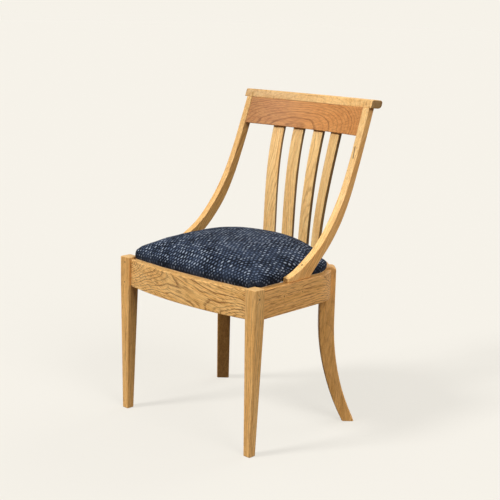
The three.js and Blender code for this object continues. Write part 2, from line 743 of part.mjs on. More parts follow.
function slatBody(path, grow) {
  const { curve, footWay, headWay, footTurn, headTurn, sign } = path;
  const section = roundedRectangle(SLAT_WIDTH + 2 * grow, SLAT_THICK + 2 * grow, SLAT_ARRIS);
  const points = curve.getPoints(SLAT_STEPS);
  points.unshift(points[0].clone().addScaledVector(footWay, -SLAT_FOOT_DEPTH - grow));
  points.push(points.at(-1).clone().addScaledVector(headWay, SLAT_HEAD_DEPTH + grow));
  const rings = points.map((point, i) => {
    const share = Math.min(1, Math.max(0, (i - 1) / SLAT_STEPS));
    const turn = sign * (footTurn + (headTurn - footTurn) * share);
    const wide = new THREE.Vector3(Math.cos(turn), -Math.sin(turn), 0);
    const thick = new THREE.Vector3(Math.sin(turn), Math.cos(turn), 0);
    const middle = new THREE.Vector3(sign * point.x, point.y, point.z);
    return section.map((p) => middle.clone().addScaledVector(wide, p.x).addScaledVector(thick, p.y));
  });
  return loft(rings);
}

// The four slats from left to right
function slats(grow) {
  const places = [
    [1, -1],
    [0, -1],
    [0, 1],
    [1, 1],
  ];
  return places.map(([pair, sign]) => slatBody(slatPath(pair, sign), grow));
}

// Pad: plan outline of the right half, from the front's middle to the back's

// Corners with radii, each turned into an arc that touches both of its sides.
function filleted(corners) {
  return corners.flatMap(([point, radius], i) => {
    if (!radius) return [point];
    const before = corners[i - 1][0].clone().sub(point).normalize();
    const after = corners[i + 1][0].clone().sub(point).normalize();
    const half = Math.acos(before.dot(after)) / 2;
    const reach = radius / Math.tan(half);
    const middle = before.clone().add(after).normalize();
    const centre = along(point, middle, radius / Math.sin(half));
    return CORNER_SHARES.map((share) => {
      const from = along(point, before, reach * (1 - share)).addScaledVector(after, reach * share);
      return along(centre, from.sub(centre).normalize(), radius);
    });
  });
}

function padHalf(notch) {
  const legInner = FRONT_HALF - PAD_CLEAR - PAD_BULGE;
  const legBack = LEG_SIZE + PAD_CLEAR + PAD_BULGE;
  const frontY = FRONT_SETBACK - FRONT_BOW + PAD_FRONT_REVEAL;
  const frontRadius = (legInner ** 2 + PAD_FRONT_BOW ** 2) / (2 * PAD_FRONT_BOW);
  const frontCentre = plan(0, frontY + frontRadius);
  const sweep = Math.asin((legInner - PAD_CORNER) / frontRadius);
  const down = -Math.PI / 2;
  const front = arc(frontCentre, frontRadius, down, down + sweep, PAD_STEPS);

  const side = sideEdge(PAD_SIDE_REVEAL, 0);
  const sideAt = (y) => plan(side[0].x - (y - side[0].y) * Math.tan(SIDE_TOE), y);
  const notchAt = (y) => {
    const inner = stileInnerFoot.x - (y - stileInnerFoot.y) * Math.tan(STILE_TOE);
    return sideAt(y).lerp(plan(inner - PAD_CLEAR - PAD_BULGE, y), notch);
  };
  const footFront = STILE_Y - PAD_CLEAR - PAD_BULGE;
  const footBack = STILE_Y + STILE_FOOT;

  const legFace = -REAR_DEPTH / 2 - PAD_CLEAR - PAD_BULGE;
  const legSide = REAR_WIDTH / 2 + PAD_CLEAR + PAD_BULGE;
  const backRadius = REAR_RAIL_RADIUS - RAIL_MIDDLE - SLAT_THICK / 2 - PAD_CLEAR - PAD_BULGE;
  const bendRadius = SIDE_BEND_RADIUS - PAD_BEND_REVEAL;
  const sideLast = angleAtLine(sideCentre, bendRadius, diagonal(0, legSide), outward);
  const backFrom = angleAtLine(backCentre, backRadius, diagonal(0, -legSide), outward);
  const bend = arc(sideCentre, bendRadius, SIDE_TOE, sideLast, PAD_STEPS);
  return filleted([
    ...front.map((point) => [point, 0]),
    [plan(legInner, front.at(-1).y), PAD_CORNER / 2],
    [plan(legInner, legBack), PAD_NOTCH_CORNER],
    [sideAt(legBack), PAD_CORNER],
    [sideAt(footFront - PAD_NOTCH_SLANT), 0],
    [notchAt(footFront), 0],
    [notchAt(footBack), 0],
    [sideAt(footBack + PAD_TAIL_SHARE * (bend[0].y - footBack)), 0],
    ...bend.slice(1).map((point) => [point, 0]),
    [diagonal(legFace, legSide), PAD_NOTCH_CORNER],
    [diagonal(legFace, -legSide), PAD_NOTCH_CORNER],
    ...arc(backCentre, backRadius, backFrom, Math.PI / 2, PAD_STEPS).map((point) => [point, 0]),
  ]);
}

function bothSides(half) {
  const other = half.slice(1, -1).reverse();
  return [...half, ...other.map((p) => plan(-p.x, p.y))];
}

function padOutline(notch) {
  return bothSides(padHalf(notch));
}

// The outline moved out by an offset, mitred at its corners, and drawn towards the pad's middle.
function padRing(outline, z, offset, share) {
  const edgeNormal = (from, to) => plan(to.y - from.y, from.x - to.x).normalize();
  return outline.map((p, i) => {
    const ahead = edgeNormal(p, outline[(i + 1) % outline.length]);
    const normal = edgeNormal(outline.at(i - 1), p).add(ahead).normalize();
    const edge = along(p, normal, offset / Math.max(LEAST_MITRE, normal.dot(ahead)));
    return new THREE.Vector3(edge.x * share, PAD_MIDDLE + (edge.y - PAD_MIDDLE) * share, z);
  });
}

// Point of the crown's oval that lies in the same direction as a point of the outline.
function ovalPoint(p, half) {
  const middle = plan(0, PAD_MIDDLE);
  const way = p.clone().sub(middle).normalize();
  const aside = Math.abs(way.x / half.x) ** PAD_OVAL_POWER;
  const ahead = Math.abs(way.y / half.y) ** PAD_OVAL_POWER;
  return along(middle, way, (aside + ahead) ** (-1 / PAD_OVAL_POWER));
}

// One side of the outline, with each point turned on past the last as seen from the pad's middle,
// because the notch for the rear leg turns back there.
function openedOut(half) {
  const middle = plan(0, PAD_MIDDLE);
  let last = -Math.PI;
  return half.map((p) => {
    const way = p.clone().sub(middle);
    last = Math.max(last + LEAST_TURN, Math.atan2(way.y, way.x));
    return along(middle, plan(Math.cos(last), Math.sin(last)), way.length());
  });
}

function crownOutline(notch, kept) {
  const side = padHalf(notch);
  const span = new THREE.Box2().setFromPoints(bothSides(side));
  const half = span.getSize(new THREE.Vector2()).divideScalar(2);
  return bothSides(openedOut(side).map((p) => ovalPoint(p, half).lerp(p, kept)));
}

function padSolid() {
  const side = padOutline(1);
  const rings = PAD_SIDE_SHARES.map(([rise, bulge]) =>
    padRing(side, SEAT + rise * PAD_SIDE_HEIGHT, bulge * PAD_BULGE, 1),
  );
  for (const [share, notch, kept] of PAD_CROWN_SHARES) {
    const z = SEAT + PAD_SIDE_HEIGHT + PAD_CROWN * (1 - share ** PAD_FULLNESS);
    rings.push(padRing(crownOutline(notch, kept), z, -PAD_BULGE, share));
  }
  return loft(rings);
}

// The pad's plywood, or with a positive clearance the recess for it.
function plySolid(grow) {
  const outline = padRing(padOutline(1), 0, grow - PLY_INSET, 1).map((p) => plan(p.x, p.y));
  const below = grow > 0 ? OVERRUN : 0;
  return plate(outline, SEAT - below, SEAT + PLY_THICK + grow);
}

// Corner blocks: bars across the corners, trimmed to the rails and the leg

const BLOCK_LOW = RAIL_TOP - BLOCK_HEIGHT;
const frontDiagonal = plan(-Math.SQRT1_2, Math.SQRT1_2);
const frontCorner = plan(FRONT_HALF, LEG_SIZE);
const frontBlockMiddle = along(frontCorner, frontDiagonal, BLOCK_CORNER_GAP + BLOCK_THICK / 2);
const rearBlockMiddle = diagonal(-REAR_DEPTH / 2 - GAP - BLOCK_THICK / 2, 0);
const rearSeatPlace = along(rearBlockMiddle, across, SEAT_SCREW_ASIDE);

function bar(middle, normal, half) {
  const axis = plan(-normal.y, normal.x);
  const corners = [
    [-1, -1],
    [1, -1],
    [1, 1],
    [-1, 1],
  ].map(([a, n]) => along(along(middle, axis, a * half), normal, (n * BLOCK_THICK) / 2));
  return solid(plate(corners, BLOCK_LOW, RAIL_TOP));
}

function railBlank(outline) {
  return plate(outline, RAIL_BOTTOM, RAIL_TOP);
}

function screw(start, direction, length) {
  const profile = [
    [0, 0],
    [SCREW_HEAD_RADIUS, 0],
    [SCREW_HEAD_RADIUS, SCREW_HEAD],
    [SCREW_RADIUS, SCREW_HEAD],
    [SCREW_RADIUS, length - SCREW_TIP],
    [0, length],
  ];
  return turned(profile, start, direction);
}

function screwHole(start, direction, length) {
  const open = -SCREW_SINK - BLOCK_THICK;
  const bottom = SCREW_HEAD + GAP;
  const profile = [
    [0, open],
    [SCREW_HEAD_RADIUS + GAP, open],
    [SCREW_HEAD_RADIUS + GAP, bottom],
    [SCREW_RADIUS + GAP, bottom],
    [SCREW_RADIUS + GAP, length + GAP],
    [0, length + GAP],
  ];
  return turned(profile, start, direction);
}

function turned(profile, start, direction) {
  const points = profile.map(([radius, height]) => plan(radius, height));
  const geometry = new THREE.LatheGeometry(points, SCREW_SIDES);
  const turn = new THREE.Quaternion().setFromUnitVectors(new THREE.Vector3(0, 1, 0), direction);
  return geometry.applyQuaternion(turn).translate(start.x, start.y, start.z);
}

const level = (p) => new THREE.Vector3(p.x, p.y, 0);
const BLOCK_MIDDLE_Z = (BLOCK_LOW + RAIL_TOP) / 2;

function frontScrews() {
  const face = along(frontBlockMiddle, frontDiagonal, BLOCK_THICK / 2);
  const axis = plan(Math.SQRT1_2, Math.SQRT1_2);
  const ends = [
    { at: along(face, axis, -RAIL_SCREW_SPREAD), direction: plan(0, -1) },
    { at: along(face, axis, RAIL_SCREW_SPREAD), direction: plan(1, 0) },
  ];
  return ends.map(({ at, direction }) => {
    const sunk = along(at, direction, SCREW_SINK);
    return { start: level(sunk).setZ(BLOCK_MIDDLE_Z), direction: level(direction), length: RAIL_SCREW };
  });
}

function rearScrews() {
  const at = diagonal(-REAR_DEPTH / 2 - GAP - BLOCK_THICK + SCREW_SINK, 0);
  return [LEG_SCREW_SPREAD, -LEG_SCREW_SPREAD].map((rise) => ({
    start: level(at).setZ(BLOCK_MIDDLE_Z + rise),
    direction: level(outward),
    length: LEG_SCREW,
  }));
}

function seatScrew(middle) {
  const start = level(middle).setZ(BLOCK_LOW + SCREW_SINK);
  return { start, direction: new THREE.Vector3(0, 0, 1), length: SEAT_SCREW };
}

const screwAt = ({ start, direction, length }) => screw(start, direction, length);
const holeAt = ({ start, direction, length }) => screwHole(start, direction, length);

function frontBlock() {
  const cuts = [
    railBlank(frontRailOutline(GAP)),
    railBlank(sideRailOutline(GAP)),
    beyond(plan(0, FRONT_SETBACK), plan(0, -1)),
    beyond(plan(HALF_WIDTH - SIDE_SETBACK, 0), plan(1, 0)),
  ];
  const block = largest(cut(bar(frontBlockMiddle, frontDiagonal, FRONT_HALF / 2), cuts));
  return cut(block, [...frontScrews(), seatScrew(frontBlockMiddle)].map(holeAt));
}

function rearBlock() {
  const cuts = [railBlank(sideRailOutline(GAP)), railBlank(rearRailOutline(GAP))];
  const block = largest(cut(bar(rearBlockMiddle, outward, BLOCK_REACH), cuts));
  return cut(block, [...rearScrews(), seatScrew(rearSeatPlace)].map(holeAt));
}

function largest(made) {
  const bodies = made.decompose();
  return bodies.reduce((best, body) => (body.volume() > best.volume() ? body : best));
}

// The chair

const chair = new THREE.Group();

function add(name, made, material) {
  const geometry = made.isBufferGeometry ? made : geometryOf(made);
  const mesh = new THREE.Mesh(geometry, material);
  mesh.name = name;
  chair.add(mesh);
  return mesh;
}

function addPair(name, made, material) {
  const right = add(`${name}_right`, made, material);
  const left = add(`${name}_left`, right.geometry, material);
  left.scale.x = -1;
}

const [railScrew, sideScrew] = frontScrews();
const legScrews = rearScrews();
const seatScrews = [seatScrew(frontBlockMiddle), seatScrew(rearSeatPlace)];
const dowelHoles = DOWEL_PLACES.map((place) => dowel(place, GAP));

addPair("front_leg", frontLeg(), oak);
addPair("rear_leg", cut(rearLeg(), legScrews.map(holeAt)), oak);
add("front_rail", cut(frontRail(), [holeAt(railScrew)], BOTH), oak);
addPair("side_rail", cut(sideRail(), [holeAt(sideScrew), ...dowelHoles]), oak);
add("rear_rail", rearRail(), oak);
addPair("back_stile", stile(), oak);
slats(0).forEach((body, i) => add(`slat_${i + 1}`, body, oak));
add("crest_board", crestBoard(), redOak);
add("cap_rail", capRail(), oak);
addPair("front_block", frontBlock(), oak);
addPair("rear_block", rearBlock(), oak);
DOWEL_PLACES.forEach((place, i) => addPair(`stile_dowel_${i + 1}`, dowel(place, 0), oak));
addPair("front_rail_screw", screwAt(railScrew), steel);
addPair("side_rail_screw", screwAt(sideScrew), steel);
legScrews.forEach((place, i) => addPair(`rear_leg_screw_${i + 1}`, screwAt(place), steel));
seatScrews.forEach((place, i) => addPair(`seat_screw_${i + 1}`, screwAt(place), steel));

const stileClear = stileBlank(2 * GAP);
const board = cut(solid(plySolid(0)), [stileClear, ...seatScrews.map(holeAt)], BOTH);
add("seat_board", board, plywood);
const cushion = cut(solid(padSolid()), [stileClear], BOTH);
add("seat_cushion", cut(cushion, [plySolid(GAP)]), tweed);

// Origin: on the floor, below the middle of the chair's box
const box = new THREE.Box3().setFromObject(chair);
const centre = box.getCenter(new THREE.Vector3());
chair.position.set(-centre.x, -centre.y, -box.min.z);

const root = new THREE.Group();
root.add(chair);

export default root;
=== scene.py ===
"""Oak gondola dining chair with a tweed seat pad: finishes, upholstery, studio and camera.

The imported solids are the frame. Every wooden piece keeps its solid and gets its own board of
oak, with the growth rings of the blank that it was sawn from. The seat pad's solid is replaced by
an upholstered pad. Lengths are in metres unless a comment says millimetres.
"""

import logging
import math
from collections.abc import Callable, Sequence
from dataclasses import dataclass, field
from enum import Enum
from functools import partial

import bmesh
import bpy
import numpy as np
from mathutils import Matrix, Vector
from mathutils.bvhtree import BVHTree


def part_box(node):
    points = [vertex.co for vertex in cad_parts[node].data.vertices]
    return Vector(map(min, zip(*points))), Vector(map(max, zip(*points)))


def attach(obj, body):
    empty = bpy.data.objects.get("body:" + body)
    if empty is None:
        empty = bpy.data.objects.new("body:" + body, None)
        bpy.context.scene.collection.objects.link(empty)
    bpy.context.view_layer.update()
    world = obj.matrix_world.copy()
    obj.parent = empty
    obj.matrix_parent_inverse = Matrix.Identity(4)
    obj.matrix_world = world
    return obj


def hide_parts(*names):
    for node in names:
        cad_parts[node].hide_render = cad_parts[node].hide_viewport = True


log = logging.getLogger("dining_chair")

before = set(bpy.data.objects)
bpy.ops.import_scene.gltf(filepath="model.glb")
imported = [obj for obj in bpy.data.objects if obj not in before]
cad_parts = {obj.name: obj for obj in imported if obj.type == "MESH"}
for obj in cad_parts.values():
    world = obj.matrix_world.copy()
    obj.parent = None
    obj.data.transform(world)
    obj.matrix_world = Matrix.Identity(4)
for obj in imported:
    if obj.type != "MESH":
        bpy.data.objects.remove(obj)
bpy.context.view_layer.update()

BODY = "root"
MM = 0.001
WELD = 0.00002
PICTURE_PIXELS = 500
SENSOR_MM = 36.0
BOW_REACH = 0.25
CLOTH_TURN = math.radians(2)
HALF = (0.5, 0.5, 0.5)

Piece = bpy.types.Object
Material = bpy.types.Material
Tree = bpy.types.NodeTree
Socket = bpy.types.NodeSocket
Pair = tuple[float, float]
Place = tuple[float, float, float]
Feed = Socket | Material | Sequence[float] | float | str
Adder = Callable[..., Socket | None]

# What each node of a type gets here, besides its own settings.
USUAL = {"MapRange": {"interpolation_type": "SMOOTHSTEP"}, "Mix": {"data_type": "RGBA"}}


# Colour, nodes and meshes


def linear(hex_colour: str) -> tuple[float, float, float, float]:
    """Turns an sRGB hex colour into the linear colour that a shader takes."""
    values = (int(hex_colour[i : i + 2], 16) / 255 for i in (1, 3, 5))
    return (*(v / 12.92 if v <= 0.04045 else ((v + 0.055) / 1.055) ** 2.4 for v in values), 1.0)


def add_node(
    tree: Tree, kind: str, *feeds: Feed, out: str = "", **settings: Feed
) -> Socket | None:
    """Adds a node with its settings and links.

    Args:
        tree: The tree that gets the node.
        kind: Blender's name of its type, short of ShaderNode, and after a dot its operation.
        feeds: A socket or plain value for each input in use, in order.
        out: Name of the wanted output, where it isn't the first in use.
        settings: The node's properties, and inputs by name, with a capital and _ for a space.

    Returns:
        The wanted output.
    """
    kind, _, operation = kind.partition(".")
    made = tree.nodes.new(kind if "Node" in kind else f"ShaderNode{kind}")
    if operation:
        made.operation = operation
    traits = {n: v for n, v in (USUAL.get(kind, {}) | settings).items() if n.islower()}
    for name, value in traits.items():
        setattr(made, name, value)
    used = [socket for socket in made.inputs if socket.enabled]
    named = {socket.name.replace(" ", "_"): socket for socket in used}
    pairs = [*zip(used, feeds), *((named[n], v) for n, v in settings.items() if n not in traits)]
    for socket, source in pairs:
        if isinstance(source, Socket):
            tree.links.new(source, socket)
        else:
            socket.default_value = source
    return made.outputs[out] if out else next((s for s in made.outputs if s.enabled), None)


def made_of(name: str, build: Callable[[Adder], Socket]) -> Material:
    """Makes a material.

    Args:
        name: The material's name.
        build: Makes its shader, given the function that adds a node to it.

    Returns:
        The material.
    """
    material = bpy.data.materials.new(name)
    material.use_nodes = True
    material.node_tree.nodes.clear()
    add = partial(add_node, material.node_tree)
    add("OutputMaterial", build(add))
    return material


def geometry_group(name: str, **inputs: str) -> tuple[Tree, Adder, bpy.types.NodeOutputs]:
    """Makes a Geometry Nodes group that gives out a geometry.

    Args:
        name: The group's name.
        inputs: What each input takes, by its name: Geometry, Float or Int.

    Returns:
        The group, the function that adds a node to it, and its inputs.
    """
    tree = bpy.data.node_groups.new(name, "GeometryNodeTree")
    for label, kind in inputs.items():
        tree.interface.new_socket(label, in_out="INPUT", socket_type=f"NodeSocket{kind}")
    tree.interface.new_socket("Geometry", in_out="OUTPUT", socket_type="NodeSocketGeometry")
    add = partial(add_node, tree)
    return tree, add, add("NodeGroupInput").node.outputs


def run_group(piece: Piece, name: str, tree: Tree, **sizes: float) -> None:
    """Puts a Geometry Nodes group on a piece.

    Args:
        piece: The piece that gets the modifier.
        name: The modifier's name.
        tree: The group.
        sizes: Values of the group's inputs, by name.
    """
    modifier = piece.modifiers.new(name, "NODES")
    modifier.node_group = tree
    for item in tree.interface.items_tree:
        if item.in_out == "INPUT" and item.name in sizes:
            modifier[item.identifier] = sizes[item.name]


def dress(piece: Piece, material: Material) -> None:
    """Gives a piece one material in place of those that it has.

    Args:
        piece: The piece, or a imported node's object.
        material: Its finish.
    """
    if not piece.data.materials:
        piece.data.materials.append(material)
    for place in range(len(piece.data.materials)):
        piece.data.materials[place] = material


def piece_from(name: str, made: bmesh.types.BMesh) -> Piece:
    """Turns a finished bmesh into an object at the origin.

    Args:
        name: The piece's name.
        made: Its form, which is freed.

    Returns:
        The piece.
    """
    mesh = bpy.data.meshes.new(name)
    made.to_mesh(mesh)
    made.free()
    piece = bpy.data.objects.new(name, mesh)
    bpy.context.scene.collection.objects.link(piece)
    return piece


def merged_copy(node: str) -> bmesh.types.BMesh:
    """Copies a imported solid's mesh and joins its loose triangles into one skin.

    Args:
        node: The solid's node.

    Returns:
        The copy.
    """
    made = bmesh.new()
    made.from_mesh(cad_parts[node].data)
    bmesh.ops.remove_doubles(made, verts=made.verts, dist=WELD)
    return made


def settle(piece: Piece) -> None:
    """Turns a piece's modifiers into plain mesh and removes them.

    Args:
        piece: A piece of the scene's own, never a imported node.
    """
    graph = bpy.context.evaluated_depsgraph_get()
    finished = bpy.data.meshes.new_from_object(piece.evaluated_get(graph))
    piece.modifiers.clear()
    old = piece.data
    piece.data = finished
    bpy.data.meshes.remove(old)


def modify(piece: Piece, kind: str, **settings: Piece | float | str) -> None:
    """Applies one modifier.

    Args:
        piece: A piece of the scene's own.
        kind: Blender's name of the modifier's type.
        settings: Its properties.
    """
    modifier = piece.modifiers.new(kind, kind)
    for name, value in settings.items():
        setattr(modifier, name, value)
    settle(piece)


# Oak


class Cut(Enum):
    """How a board's face lies to the growth rings: how strongly its lines and its rays show."""

    FLAT = (1.0, 0.0)
    RIFT = (0.5, 0.12)
    QUARTER = (0.35, 0.45)

    @property
    def lines(self) -> float:
        """Strength of the growth lines."""
        return self.value[0]

    @property
    def rays(self) -> float:
        """Strength of the silky flecks that lie across the grain."""
        return self.value[1]


class Figure(Enum):
    """Length and width of each mark in the grain, in millimetres, and octaves of its noise.

    Real ticks and pores are narrower, and are drawn coarser to show.
    """

    DRIFT = (300, 110, 2)
    WAVE = (55, 20, 2)
    SHIVER = (14, 5, 2)
    STREAK = (240, 7, 3)
    PATCH = (260, 50, 2)
    TICK = (26, 2.4, 2)
    RAY = (5, 14, 2)
    FIBRE = (30, 1.6, 2)
    PORE = (16, 0.9, 1)


@dataclass(frozen=True)
class Knot:
    """A small knot at a place, or a dark streak from there to its tail."""

    place: Place
    radius: float
    tail: Place | None = None

    def away(self, add: Adder, here: Socket) -> Socket:
        """Measures how far a point is from the knot, or from the line of the streak.

        Args:
            add: Adds a node to the material.
            here: The point.

        Returns:
            The distance.
        """
        if not self.tail:
            return add("VectorMath.DISTANCE", here, self.place)
        length = Vector(self.tail) - Vector(self.place)
        offset = add("VectorMath.SUBTRACT", here, self.place)
        share = add("VectorMath.DOT_PRODUCT", offset, length / length.length_squared)
        nearest = add("VectorMath.MULTIPLY_ADD", add("Clamp", share), length, self.place)
        return add("VectorMath.DISTANCE", here, nearest)


@dataclass(frozen=True)
class Board:
    """The blank that a wooden piece was sawn from.

    Attributes:
        run: Way of the grain along the piece.
        heart: Middle of the tree, from the middle of the piece.
        cut: How the board's face lies to the rings.
        bow: How far the heart has moved aside, in the log's Y and Z, at BOW_REACH from the middle.
        wander: How far the heart strays from side to side along the log.
        knots: Its small knots and streaks.
        fade: Painted shade, darker towards the board's low end, BOW_REACH from the middle.
    """

    run: Place
    heart: Place
    cut: Cut = Cut.RIFT
    bow: Pair = (0.0, 0.0)
    wander: float = 20 * MM
    knots: tuple[Knot, ...] = ()
    fade: float = 0.0


@dataclass(frozen=True)
class Oak:
    """European oak, planed, sanded and finished with a satin clear lacquer.

    The open pores of each spring's growth read as thin darker lines, and the summer wood between
    them is paler. End grain drinks the lacquer and is darker, and the arrises carry a painted
    highlight.

    Attributes:
        name: The stock's name.
        pale: Summer wood.
        middle: The board at a distance.
        dark: Pores of the spring wood.
        end_grain: Wood across the grain.
        contrast: How strongly the rings show.
        ticks: How strongly the groups of pores show.
        edges: Painted shade: tint of the faces that look left and right, as if they stood in
            shade.
        knot: Heart of a knot.
        ring: Width of a year's growth. Real ones are 2 to 3 mm, and are drawn coarser to show.
        roughness: Roughness of the lacquer.
        gloss: Specular level of the wood, and weight of the lacquer's own highlight.
        arris: Radius to which the arrises are rounded for the light, and over which the highlight
            is painted.
        arris_highlight: How much paler the painted highlight makes an arris.
    """

    name: str
    pale: str
    middle: str
    dark: str
    end_grain: str = "#6E4520"
    contrast: float = 1.0
    ticks: float = 0.6
    edges: str = "#FFFFFF"
    knot: str = "#4A2C16"
    ring: float = 4.4 * MM
    roughness: float = 0.5
    gloss: Pair = (0.28, 0.05)
    arris: float = 2.3 * MM
    arris_highlight: float = 1.42

    def shader(self, board: Board, middle: Vector, add: Adder) -> Socket:
        """Builds the shader of one piece.

        Args:
            board: The blank that it was sawn from.
            middle: Middle of the piece.
            add: Adds a node to the material.

        Returns:
            The shader.
        """
        grain = Grain(self, board, middle, add)
        core, push = grain.knots()
        spring, summer = grain.growth(grain.years(push))
        fibre = grain.noise(Figure.FIBRE)
        pore = add("MapRange", grain.noise(Figure.PORE), 0.52, 0.68)
        pore = add("Math.MULTIPLY", pore, add("Math.MULTIPLY_ADD", spring, 0.75, 0.25))
        tone = grain.colour(spring, summer, pore, fibre)

        facing = add("TexCoord", out="Normal")
        run = Vector(board.run).normalized()
        end = add("Math.ABSOLUTE", add("VectorMath.DOT_PRODUCT", facing, run))
        tone = add("Mix", add("MapRange", end, 0.72, 0.97, 0.0, 0.7), tone, linear(self.end_grain))
        tone = add("Mix", add("Math.MULTIPLY", core, 0.85), tone, linear(self.knot))
        # Painted shade: faces that look left or right are tinted by the edges colour, as if in
        # shade.
        aside = add("MapRange", add("Math.ABSOLUTE", add("SeparateXYZ", facing)), 0.6, 0.9)
        tone = add("Mix", aside, tone, linear(self.edges), blend_type="MULTIPLY")

        # The bevel rounds each arris for the light, and where it does a painted highlight makes
        # the colour paler.
        eased = add("Bevel", self.arris, samples=4)
        square = add("VectorMath.DOT_PRODUCT", eased, add("NewGeometry", out="Normal"))
        painted_highlight = add("MapRange", square, 0.985, 0.84, 1.0, self.arris_highlight)
        rough = add("Math.MULTIPLY_ADD", pore, 0.22, self.roughness)
        height = add("Math.MULTIPLY_ADD", pore, -1.0, add("Math.MULTIPLY", fibre, 0.25))
        height = add("Math.MULTIPLY_ADD", spring, -0.3, height)
        return add(
            "BsdfPrincipled",
            Base_Color=add("VectorMath.SCALE", tone, painted_highlight),
            Roughness=add("Math.MULTIPLY_ADD", end, 0.08, rough),
            IOR=1.5,
            Specular_IOR_Level=self.gloss[0],
            Coat_Weight=self.gloss[1],
            Coat_Roughness=0.34,
            Normal=add("Bump", 0.35, 0.25 * MM, Height=height, Normal=eased),
        )


@dataclass
class Grain:
    """The grain of one piece, while its material is made.

    Attributes:
        oak: The stock.
        board: The blank that the piece was sawn from.
        middle: Middle of the piece.
        add: Adds a node to the material.
        here: Object coordinates.
        inlog: The same in the log, where X runs along the grain.
    """

    oak: Oak
    board: Board
    middle: Vector
    add: Adder
    here: Socket = field(init=False)
    inlog: Socket = field(init=False)

    def __post_init__(self) -> None:
        """Places the pattern in the log."""
        turn = Vector((1, 0, 0)).rotation_difference(Vector(self.board.run).normalized())
        heart = self.middle + Vector(self.board.heart)
        self.here = self.add("TexCoord", out="Object")
        self.inlog = self.add("Mapping", self.here, heart, turn.to_euler(), vector_type="TEXTURE")

    def noise(self, figure: Figure, **more: Feed) -> Socket:
        """Adds noise drawn out along the grain.

        Args:
            figure: Size of its features.
            more: Other settings of the noise.

        Returns:
            The noise.
        """
        long, wide, detail = figure.value
        long, wide = 1 / (long * MM), 1 / (wide * MM)
        scaled = self.add("VectorMath.MULTIPLY", self.inlog, (long, wide, wide))
        return self.add("TexNoise", scaled, Scale=1.0, Detail=detail, **more)

    def years(self, pushed: Feed) -> Socket:
        """Counts the growth rings out from the heart.

        Args:
            pushed: Extra distance near a knot, which the rings flow round.

        Returns:
            The number of rings, whose fraction is the place within one year.
        """
        add = self.add
        along = add("Math.DIVIDE", add("SeparateXYZ", self.inlog), BOW_REACH)
        square = add("Math.MULTIPLY", along, along)
        aside = [add("Math.MULTIPLY", square, reach) for reach in self.board.bow]
        bent = add("VectorMath.ADD", self.inlog, add("CombineXYZ", Y=aside[0], Z=aside[1]))
        reaches = (self.board.wander, 2.2 * MM, 0.35 * MM)
        for figure, most in zip((Figure.DRIFT, Figure.WAVE, Figure.SHIVER), reaches):
            stray = add("VectorMath.SUBTRACT", self.noise(figure, out="Color"), HALF)
            stray = add("VectorMath.MULTIPLY", stray, (0, 2 * most, 2 * most))
            bent = add("VectorMath.ADD", bent, stray)
        out = add("VectorMath.LENGTH", add("VectorMath.MULTIPLY", bent, (0, 1, 1)))
        return add("Math.DIVIDE", add("Math.ADD", out, pushed), self.oak.ring)

    def knots(self) -> tuple[Feed, Feed]:
        """Draws the board's small knots.

        Returns:
            How far into a knot a point is, and how far the rings are pushed aside there.
        """
        core, push = 0.0, 0.0
        for knot in self.board.knots:
            away, size = knot.away(self.add, self.here), knot.radius
            inside = self.add("MapRange", away, size * 1.3, size * 0.4)
            core = self.add("Math.MAXIMUM", core, inside)
            near = self.add("MapRange", away, size * 6, 0.0, 0.0, size * 2.2)
            push = self.add("Math.ADD", push, near)
        return core, push

    def growth(self, rings: Socket) -> tuple[Socket, Socket]:
        """Draws each year's band of pores.

        Args:
            rings: The number of rings.

        Returns:
            How strong the spring wood is, from 0 to 1, and the same for the late summer wood.
        """
        add = self.add
        year = add("Math.FRACT", rings)
        luck = add("TexWhiteNoise", add("Math.FLOOR", rings), noise_dimensions="1D")
        closes = add("MapRange", year, 0.14, 0.46, 1.0, 0.0)
        spring = add("Math.MULTIPLY", add("MapRange", year, 0.0, 0.08), closes)
        spring = add("Math.MULTIPLY", spring, add("MapRange", luck, 0.0, 1.0, 0.45, 1.0))
        return spring, add("MapRange", year, 0.55, 1.0)

    def colour(self, spring: Socket, summer: Socket, pore: Socket, fibre: Socket) -> Socket:
        """Mixes the board's colour before its end grain and knots.

        Args:
            spring: Strength of the spring wood.
            summer: Strength of the late summer wood.
            pore: Where the pores are open.
            fibre: Fine noise along the grain.

        Returns:
            The colour.
        """
        add, oak, cut = self.add, self.oak, self.board.cut
        pale, middle, dark = (linear(tone) for tone in (oak.pale, oak.middle, oak.dark))
        patch, tick = self.noise(Figure.PATCH), self.noise(Figure.TICK)
        line = add("Math.MULTIPLY", spring, oak.contrast * cut.lines)
        layers = [
            (add("Math.MULTIPLY", summer, 0.35), middle),
            (add("Math.MULTIPLY", line, add("MapRange", patch, 0.25, 0.7, 0.6, 1.0)), dark),
            (add("Math.MULTIPLY", pore, 0.55), dark),
            (add("MapRange", tick, 0.52, 0.66, 0.0, oak.ticks * cut.lines), dark),
            (add("MapRange", tick, 0.46, 0.28, 0.0, oak.ticks * cut.lines), pale),
        ]
        if cut.rays:
            # Rays are short flecks that lie across the grain, paler and silkier than the rest.
            ray = self.noise(Figure.RAY, Distortion=0.8)
            layers.append((add("MapRange", ray, 0.48, 0.68, 0.0, cut.rays), pale))
            layers.append((add("MapRange", ray, 0.5, 0.3, 0.0, cut.rays * 0.5), dark))
        streak = add("MapRange", self.noise(Figure.STREAK), 0.35, 0.65)
        tone = add("Mix", streak, middle, pale)
        for share, colour in layers:
            tone = add("Mix", share, tone, colour)
        cloud = add("MapRange", patch, 0.25, 0.75, 0.93, 1.06)
        level = add("Math.MULTIPLY", add("MapRange", fibre, 0.25, 0.75, 0.88, 1.09), cloud)
        # Painted shade: the board darkens towards its low end, as if that end stood in shade.
        if self.board.fade:
            dusk = (-BOW_REACH, 0.1 * BOW_REACH, 1 - self.board.fade, 1.0)
            dusk = add("MapRange", add("SeparateXYZ", self.inlog), *dusk)
            level = add("Math.MULTIPLY", level, dusk)
        return add("VectorMath.SCALE", tone, level)


